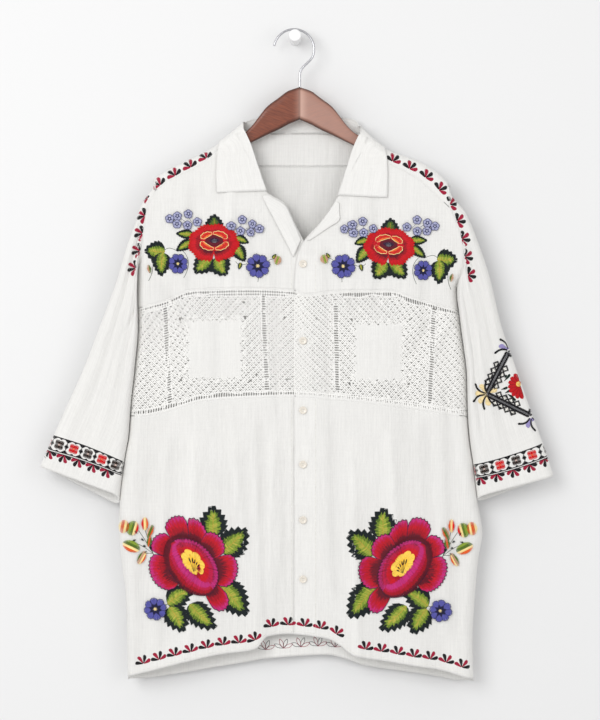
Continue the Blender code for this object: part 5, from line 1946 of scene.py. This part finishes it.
def large_peony(needle):
    centre = (-153, -793.3)
    deep, rose = dye(160, 8, 34), dye(184, 22, 68)
    shades = ((0, 0.46, MAROON), (0.38, 0.62, deep), (0.54, 0.78, dye(186, 14, 38)),
              (0.72, 0.9, rose), (0.88, 1, MAGENTA))
    for first, last, reaches in (
        (161, 129, (61.5, 70.5, 60)), (128, 97, (66, 78, 67.5)),
        (96, 64, (69, 66, 45)), (70, 19, (49.5, 58.5, 45)),
        (18, -37, (55.5, 67.5, 52.5)), (-38, -66, (55.5, 81, 61.5)),
        (162, 231, (58.5, 63, 45)),
    ):
        petal(needle, centre, first, last, reaches, shades, cup_reach)
    angle = np.linspace(0, 360, round(225 / needle.pitch), endpoint=False)
    under = oval((-155.2, -792.6), 51, 35.2, angle)
    fill(needle, mix(xz(centre), under, 0.08), under, ((0, 0.6, deep), (0.5, 1, MAROON)))
    needle.layer += 0.8
    count = round(132 / needle.pitch)
    angle = np.linspace(-20, 200, count)
    rim = oval(centre, 45, 30, angle)
    out = unit(rim - xz(centre))
    rim = rim + out * teeth(np.radians(angle) * 39, 5, 2.2)[:, None]
    heart = oval((-154.5, -788.8), 7.5, 3.8, angle)
    fill(needle, heart, rim, ((0, 0.4, deep), (0.34, 0.64, dye(196, 14, 34)),
                              (0.58, 0.86, rose), (0.82, 1, MAGENTA)), 0.12)
    needle.layer += 0.6
    line(needle, rim + 0.4 * out, PLUM, 0.9, 1.3)
    needle.layer += 0.6
    for turn, reach in ((118, 0.62), (84, 0.5), (52, 0.46)):
        seam = mix(rim, heart, np.linspace(0, reach, 6)[:, None, None])
        line(needle, seam[:, np.argmin(np.abs(angle - turn))], MAROON, 0.8, 1.3)
    needle.layer += 0.6
    turn = np.linspace(0, 360, 150, endpoint=False)
    lobed = 0.84 + 0.22 * np.abs(np.cos(np.radians(turn * 3.5))) ** 0.5
    core = xz((-152.4, -787.7))
    yolk = core + (oval(core, 21.3, 12.9, turn) - core) * lobed[:, None]
    fill(needle, mix(core, yolk, 0.08), yolk, ((0, 0.5, GOLD), (0.44, 1, dye(250, 206, 84))))
    needle.layer += 0.6
    lower = np.linspace(170, 368, count)
    fold_edge = oval((-153.8, -790.3), 37.5, 9.8, lower)
    turned = oval((-155.2, -796.3), 48, 29.2, lower)
    inward = unit(fold_edge - turned)
    fold_edge = fold_edge + inward * teeth(np.radians(lower) * 33, 4.6, 2.2)[:, None]
    fill(needle, fold_edge, turned, ((0, 0.44, MAGENTA), (0.36, 0.62, rose), (0.56, 0.88, deep),
                                     (0.84, 1, MAROON)), 0.14)
    needle.layer += 0.6
    line(needle, turned, PLUM, 0.9, 1.3)
    needle.layer += 1.2
    foot = xz((-152.2, -801.6))
    for tip in ((-157.8, -780.6), (-153.6, -780.8), (-150, -783.4), (-146.7, -787.3), (-144, -791.5),
                (-143.1, -796.3)):
        needle.add(foot, mix(foot, xz(tip), 0.82), dye(120, 104, 44), 0.7)
        needle.add(mix(foot, xz(tip), 0.66), tip, BLACK, 2.1)
    needle.layer += 1


def large_flowers(needle):
    stems(needle, STEM_GREEN, 0.9, (
        ((-211.5, -776.8), (-223.5, -757.3), (-234, -740.8)),
        ((-213, -775.3), (-222, -748.3), (-225, -736.3)),
        ((-211.5, -776.8), (-216, -763.3), (-216, -752.8)),
        ((-214.5, -773.8), (-228, -764.8), (-237, -760.3)),
        ((-213, -775.3), (-220.5, -775.3), (-226.5, -776.8)),
        ((-202.5, -854.8), (-193.5, -851.8), (-187.5, -850.3)),
    ))
    leaf(needle, (-121.5, -749.8), (-122.2, -706.3), 18, 1, (8.6, 5.4))
    leaf(needle, (-109.5, -773.8), (-73.5, -740.8), 19.5, -1, (8.6, 5.4))
    leaf(needle, (-114, -821.8), (-73.5, -865.3), 20.2, 2, (8.6, 5.4))
    leaf(needle, (-190.5, -851.1), (-154.5, -824.8), 14.2, 1, (8.6, 5.4))
    leaf(needle, (-157.5, -850.3), (-121.5, -885.6), 15, -1, (8.6, 5.4))
    leaf(needle, (-187.5, -854.8), (-165.8, -888.6), 15.8, 1, (8.6, 5.4))
    large_peony(needle)
    blossom(needle, (-208.5, -857.8), 16.5, 8, (PERIWINKLE, NAVY, CREAM), 1, 10)
    berry(needle, (-255, -734.8), 80, 9.9, 7.2, (ORANGE, CREAM, ORANGE, CREAM))
    berry(needle, (-243, -737.1), 75, 11.1, 8.4, (SCARLET, CREAM, OLIVE, LIME, OLIVE))
    berry(needle, (-225, -731.1), 92, 9.9, 5.4, (ORANGE, CREAM, SCARLET))
    berry(needle, (-216, -742.3), 66, 10.5, 4.2, (ORANGE, OLIVE, TAN))
    berry(needle, (-217.5, -757.3), 80, 8.2, 3.9, (OLIVE, ORANGE, OLIVE))
    berry(needle, (-244.5, -764.1), -28, 12.6, 8.1, (ORANGE, CREAM, OLIVE, LIME))
    berry(needle, (-229.5, -781.3), 58, 11.1, 5.4, (ORANGE, CREAM, TAN, OLIVE))
    for spot, facing in (((-237, -745.3), 120), ((-237.8, -754.3), 200), ((-226.5, -756.6), 140),
                         ((-222.8, -764.8), 170), ((-215.2, -770.1), 100), ((-221.2, -771.6), 220)):
        drop_petal(needle, spot, facing, 5, 3.6, LEAF_EDGE)


left_bloom = Needle(pitch=0.85)
large_flowers(left_bloom)
right_bloom = Needle(mirror=4.5, drop=-3, pitch=0.85)
large_flowers(right_bloom)
sew([left_bloom], "left_large_flowers", FRONT)
sew([right_bloom], "right_large_flowers", FRONT)

# %% [markdown]
# ## Trims of small fans
# Fans of four drops, crimson and black in turn, run along the front seams of the
# yoke and the armholes, and round the hem. The same trims are sewn behind, where the
# photo doesn't show them. Inside the back hem the wrong side shows as outlines only.

# %% Trims of fans
HEM_TRIM = 13.5  # from the hem up to the foot of the fans
HEM_STITCHES = 5  # from the hem up to its line of stitches
DARK_FIRST = (BLACK, CRIMSON, BLACK, CRIMSON)
RED_FIRST = (CRIMSON, BLACK, CRIMSON, BLACK)


def evenly(points, pitch, start=0.5):
    """Places at one pitch along a line of points, with the heading of the line there."""
    points = xz(points)
    length = length_along(points)
    at = np.arange(start * pitch, length[-1], pitch)
    way = on_line(points, length, at + 6) - on_line(points, length, at - 6)
    return on_line(points, length, at), np.degrees(np.arctan2(way[:, 1], way[:, 0]))


def fans_along(needle, points, pitch, size, turn, order, start=0.5, broad=0.5):
    spots, facing = evenly(points, pitch, start)
    for spot, angle in zip(spots, facing):
        fan(needle, spot, angle + turn, size, order, broad)


LEFT_SHOULDER = (
    (-131.5, -185.1), (-154.8, -198.6), (-178, -211.1), (-200.5, -225.6), (-219, -245.1), (-223.8, -273.5),
    (-227.2, -297.6), (-231.5, -326), (-236.7, -347.1), (-237.8, -352.4),
)
RIGHT_SHOULDER = (
    (144.8, -189.6), (170.5, -201), (194.2, -214.1), (214.3, -232.6), (230.1, -253.5), (242.4, -280.8),
    (249.5, -308.7), (253.2, -333.9), (257.4, -355.4), (258, -361.4),
)


def shoulder_trim(way):
    """Along the yoke's front seam from the collar, then down the armhole."""
    left, right = Needle(), Needle()
    first = 0 if way < 0 else 4
    fans_along(left, LEFT_SHOULDER[first:], 26.5, 13, -90, DARK_FIRST, 0.03)
    fans_along(right, RIGHT_SHOULDER[first:], 27.2, 13, 90, RED_FIRST, 0.03)
    return [left, right]


def hem_trim(hem, left, right, order):
    x = np.linspace(left, right, 200)
    needle = Needle()
    foot = np.stack([x, hem(x) + HEM_TRIM], axis=1)
    fans_along(needle, foot, 24.4, 13.2, 90, order, 0.5, 0.44)
    return needle


def wrong_side(needle, base, facing, size):
    for turn, colour in zip((-66, -22, 22, 66), RED_FIRST):
        along, across = heading(facing + turn), heading(facing + turn + 90)
        share = np.linspace(0, 1, 9)
        half = 0.17 * size * np.sin(np.pi * share**1.3)
        out = xz(base) + along * (share * size)[:, None]
        loop = np.vstack([out + across * half[:, None], (out - across * half[:, None])[::-1]])
        line(needle, loop, mix(np.array(colour), 0.4, 0.15), 0.9, 2)


FRONT_TRIM_SURFACE = surface_of(*FRONTS, *REST)
BACK_SURFACE = surface_of("back", *REST)
sew(shoulder_trim(-1), "armhole_fans_front", FRONT_TRIM_SURFACE)
sew(shoulder_trim(1), "armhole_fans_back", BACK_SURFACE, 1)
front_hem = [
    hem_trim(hem_front, -238, -46, RED_FIRST), hem_trim(hem_front, -46, 3, RED_FIRST),
    hem_trim(hem_front, 2, 80, DARK_FIRST), hem_trim(hem_front, 93, 267, DARK_FIRST),
]
sew(front_hem, "hem_fans_front", FRONT_TRIM_SURFACE)
sew([hem_trim(hem_back, -240, 262, RED_FIRST)], "hem_fans_back", BACK_SURFACE, 1)
inner_hem = Needle()
for inner_x in (-44.5, -17.5, 8.5, 34.5, 60.5):
    wrong_side(inner_hem, (inner_x, float(hem_back(inner_x)) + HEM_TRIM), 90, 15)
sew([inner_hem], "hem_fans_wrong_side", BACK_SURFACE, -1, THICK)

# %% [markdown]
# ## Bands at the cuffs
# Each cuff has a band of black and red four-lobed flowers between black lines. Black
# wedges and diamonds stand between the flowers, and the bare cloth among them draws
# white crosses. Below the double line hangs a row of fans.

# %% Cuff bands
def band_flower(needle, centre, tilt, colour, eye):
    for turn in (45, 135, 225, 315):
        spot = xz(centre) + heading(tilt + turn) * 4.25
        across, along = heading(tilt), heading(tilt + 90)
        aside = np.linspace(-1, 1, 7)
        middle = spot + across * (aside * 3.1)[:, None]
        reach = along * (3.85 - 1.1 * np.abs(aside) ** 3)[:, None]
        needle.add(middle - reach, middle + reach, colour, 1.05)
    needle.layer += 0.6
    middle = xz(centre) + heading(tilt) * np.linspace(-1.2, 1.2, 4)[:, None]
    needle.add(middle - heading(tilt + 90) * 1.3, middle + heading(tilt + 90) * 1.3, eye, 0.9)
    needle.layer -= 0.6


def wedge(needle, centre, tilt, half_wide, tall):
    """A triangle that stands on a line and points along tilt + 90."""
    aside = np.linspace(-0.9, 0.9, max(4, round(2 * half_wide / 0.85)))
    middle = xz(centre) + heading(tilt) * (aside * half_wide)[:, None]
    reach = heading(tilt + 90) * (tall * (1 - np.abs(aside)))[:, None]
    needle.add(middle, middle + reach, BLACK, 1.05)


def part_way(points, share):
    """The place at a share of the way along evenly spaced points."""
    return on_line(points, np.linspace(0, 1, len(points)), [share])[0]


def cuff_band(top, low, first, pitch, order):
    """A band between two lines given by their three points each."""
    needle = Needle()
    upper, lower = curve(*top, 40), curve(*low, 40)
    double = lower + (lower - upper) * 0.13
    for edge, width in ((upper, 2), (lower, 1.8), (double, 1.6)):
        line(needle, edge, BLACK, width)
    length = np.linalg.norm(lower[-1] - lower[0])
    tilt = math.degrees(math.atan2(*(lower[-1] - lower[0])[::-1]))
    for number in range(-1, int(length / pitch) + 2):
        share = (first + number * pitch) / length
        gap_share = share + 0.5 * pitch / length
        if -0.06 < share < 1.06:
            colours = ((204, 22, 30), (240, 120, 80)) if number % 2 else ((44, 30, 24), (214, 190, 180))
            spot = part_way((upper + lower) / 2, share)
            band_flower(needle, spot, tilt, *(dye(*colour) for colour in colours))
            wedge(needle, part_way(upper, share), tilt + 180, 3.6, 3)
            wedge(needle, part_way(lower, share), tilt, 3.6, 3)
        if -0.06 < gap_share < 1.06:
            above, below = part_way(upper, gap_share), part_way(lower, gap_share)
            wedge(needle, above, tilt + 180, 6, 5.2)
            wedge(needle, below, tilt, 6, 5.2)
            diamond(needle, (above + below) / 2, 3.4, 4.8, BLACK, tilt)
            line(needle, [mix(above, below, 0.1), below], BLACK, 0.8)
    for spot, angle in zip(*evenly(double, pitch, 0.45)):
        fan(needle, spot, angle - 90, 12.2, order)
    return needle


LEFT_CUFF = (
    ((-367.5, -597.6), (-310.5, -615.6), (-256.5, -638.8)),
    ((-375.8, -617.1), (-316.5, -634.3), (-259.5, -656.1)),
)
RIGHT_CUFF = (
    ((262.5, -644.1), (321, -629.1), (378, -608.1)), ((265.5, -661.3), (324, -647.8), (384, -626.8)),
)
for name, lines, first, pitch, order in (
    ("left_cuff_band", LEFT_CUFF, 20, 22.8, RED_FIRST),
    ("right_cuff_band", RIGHT_CUFF, 19.8, 25.3, RED_FIRST),
):
    for way, part in ((-1, "front"), (1, "back")):
        cuff = cuff_band(*lines, first, pitch, order)
        sleeve = surface_of(name.split("_")[0] + "_sleeve")
        sew([cuff], f"{name}_{part}", sleeve, way, skip_steep=0.02)

# %% [markdown]
# ## The lozenge on the right sleeve
# A red flower sits on the outer fold of the sleeve, so the front shows half of it. Four
# black bars with a grey core make a lozenge round it, edged with small white diamonds,
# and lilies spring from its corners. The half on the back is sewn from the same chart.

# %% Sleeve lozenge
def bar(needle, start, end, half=4.4):
    start, end = xz([start, end])
    along = end - start
    length = np.linalg.norm(along)
    tilt = math.degrees(math.atan2(along[1], along[0]))
    across = heading(tilt + 90)
    step = np.linspace(0, 1, round(length / 0.9))
    middle = start + step[:, None] * along
    wide = half * np.minimum(1, 0.72 + 3 * np.minimum(step, 1 - step) ** 0.7)[:, None]
    needle.add(middle - across * wide, middle - across * 0.18 * wide, BLACK, 1.15)
    needle.add(middle + across * wide, middle + across * 0.18 * wide, BLACK, 1.15)
    needle.add(middle - across * 0.17 * wide, middle + across * 0.17 * wide, dye(108, 108, 112), 1.1)
    for side in (-1, 1):
        for share in (0.24, 0.38, 0.52, 0.66):
            spot = start + share * along + side * across * (half + 2.7)
            diamond(needle, spot, 6.2, 6.2, BLACK, tilt)
            needle.layer += 0.8
            diamond(needle, spot, 3.3, 3.3, WHITE, tilt)
            needle.layer -= 0.8


def lily(needle, centre, facing, colour, turns=(-50, 0, 50), size=17):
    """Pale petals with dark curls between them."""
    for turn in turns:
        drop_petal(needle, centre, facing + turn, size * 0.86, size * 0.42, colour)
    needle.layer += 0.5
    step = turns[1] - turns[0]
    for turn in (*turns, turns[-1] + step):
        angle = facing + turn - step / 2
        hook = 1 if turn <= 0 else -1
        start = xz(centre) + heading(angle) * 2
        middle = xz(centre) + heading(angle + 6 * hook) * size * 0.66
        end = xz(centre) + heading(angle - 10 * hook) * size * 1.12
        line(needle, curve(start, middle, end), BLACK, 3.6, 2)
        needle.add(end - heading(angle) * 1.2, end + heading(angle + 60 * hook) * 1.8, BLACK, 4.2)
    needle.layer -= 0.5


def sleeve_lozenge():
    needle = Needle()
    corner, top, low = (286.5, -536.8), (318, -474.6), (350.2, -568.3)
    middle, root = (333.8, -521.8), xz((336.8, -524.1))
    pale, mauve = dye(234, 212, 160), dye(150, 140, 190)
    for spot, facing, length in (((312.8, -517.3), 50, 13), ((313.5, -512.8), 60, 5),
                                 ((308.2, -530.1), 18, 10), ((314.2, -535.3), 30, 9),
                                 ((318, -536.8), -32, 9), ((324.8, -539.8), -60, 8)):
        drop_petal(needle, spot, facing, length, 4.4, dye(14, 40, 32))
        line(needle, [spot, xz(spot) + heading(facing) * length], BLACK, 1.2)
    needle.layer += 0.8
    for angle in np.arange(92, 296, 23):
        length = 18.5 + 1.5 * abs(math.sin(math.radians(angle))) ** 2
        drop_petal(needle, root, angle, length, 7.4, dye(184, 10, 26))
        needle.layer += 0.4
        crease = root + heading(angle + 11.5) * length * 0.86
        line(needle, [root, crease], dye(110, 6, 18), 0.8)
        needle.layer -= 0.4
    needle.layer += 0.8
    blossom(needle, middle, 3.6, 5, (CREAM, GOLD, CREAM))
    bar(needle, corner, top)
    bar(needle, corner, low)
    far = 2 * xz(middle) - xz(corner)
    bar(needle, far, top)
    bar(needle, far, low)
    drop_petal(needle, (290.2, -534.6), 24, 13, 8, pale)
    lily(needle, corner, 200, pale, (-78, -26, 26, 78), 20)
    lily(needle, (318.8, -470.8), 118, mauve, (-30, 34), 18)
    lily(needle, (352.5, -572.1), -78, mauve, (-34, 30), 18)
    return needle


right_sleeve = surface_of("right_sleeve")
sew([sleeve_lozenge()], "sleeve_lozenge_front", right_sleeve, -1, skip_steep=0.02)
sew([sleeve_lozenge()], "sleeve_lozenge_back", right_sleeve, 1, skip_steep=0.02)

# %% [markdown]
# ## Seams and top-stitching
# A seam shows as a narrow raised cord where two pieces meet. Beside the edges runs a
# line of small white stitches: along the button facing, the hems and the collar.

# %% Seams and top-stitching
def cord(name, places, surface, way=-1, half=1.1, high=0.35, shift=(0, 0)):
    """A raised strip along a line of x and z, laid on the cloth."""
    points, normals, met = drop(surface, np.asarray(places, dtype=float), way)
    met &= np.abs(normals[:, 1]) > 0.05
    points, normals = points[met], normals[met]
    points = points + np.array([shift[0], 0, shift[1]]) + normals * 0.12
    along = np.gradient(points, axis=0)
    aside = unit(np.cross(along, normals))
    strip = np.stack([points - half * aside - 0.2 * normals, points + high * normals,
                      points + half * aside - 0.2 * normals], axis=1)
    mesh = grid_mesh(name, strip, flip=way < 0)
    note_cloth(mesh, strip[..., [0, 2, 1]], 0.99)
    shown(name, mesh, cotton)


def steps(low, high, pitch=2):
    return np.linspace(low, high, max(2, round(abs(high - low) / pitch)))


for name, low, high in (("left_yoke_seam", -206, -92), ("right_yoke_seam", 112, 222)):
    seam_x = steps(low, high)
    seam = np.stack([seam_x, yoke_front(seam_x) + 1.6], axis=1)
    cord(name, seam, surface_of("yoke"), shift=(0, -1.4))
seam_x = steps(-205, 222)
seam = np.stack([seam_x, yoke_back(seam_x) + 1.6], axis=1)
cord("back_yoke_seam", seam, surface_of("yoke"), 1, shift=(0, -1.4))
for name, edge, top, low, side in (
    ("left_armhole_seam", left_edge, -216, LEFT_UNDERARM + 2, 1),
    ("right_armhole_seam", right_edge, -228, RIGHT_UNDERARM + 2, -1),
):
    seam_z = steps(top, low)
    for way, part in ((-1, "front"), (1, "back")):
        seam = np.stack([edge(seam_z) + side * 1.6, seam_z], axis=1)
        body = surface_of(*FRONTS[:2], "yoke", "back")
        cord(f"{name}_{part}", seam, body, way, shift=(-side * 1.4, 0))
for name, panel, seam_line, low, high, side in (
    ("left_lace_top_seam", "left_upper_front", lace_top, -228, -1, 1),
    ("right_lace_top_seam", "right_upper_front", lace_top, 1, 240, 1),
    ("left_lace_low_seam", "left_lower_front", lace_bottom, -240, -1, -1),
    ("right_lace_low_seam", "right_lower_front", lace_bottom, 1, 246, -1),
):
    seam_x = steps(low, high)
    seam = np.stack([seam_x, seam_line(seam_x) + side * 1.2], axis=1)
    cord(name, seam, surface_of(panel), half=1.3, shift=(0, -side * 1))


def top_stitch(name, routes, surface, way=-1):
    needle = Needle()
    for route in routes:
        line(needle, route, WHITE, 0.5, 3)
    sew([needle], name, surface, way)


def beside_hem(hem, low, high):
    x = steps(low, high, 3)
    return np.stack([x, hem(x) + HEM_STITCHES], axis=1)


facing_z = steps(-338, -895, 3)
front_routes = [np.stack([0 * facing_z + x, facing_z], axis=1) for x in (-5, 31)]
for low, high in ((-250, -44), (-38, 64), (72, 268)):
    front_routes.append(beside_hem(hem_front, low, high))
top_stitch("top_stitching_front", front_routes, FRONT)
top_stitch("top_stitching_back", [beside_hem(hem_back, -240, 262)], BACK_SURFACE, 1)
collar_routes = (
    ((-113.2, -175.4), (-113.2, -231.6), (-46.5, -233.1)),
    ((134.2, -181.4), (134.2, -237.6), (69, -240.6)),
)
top_stitch("top_stitching_collar", collar_routes, surface_of("collar"))
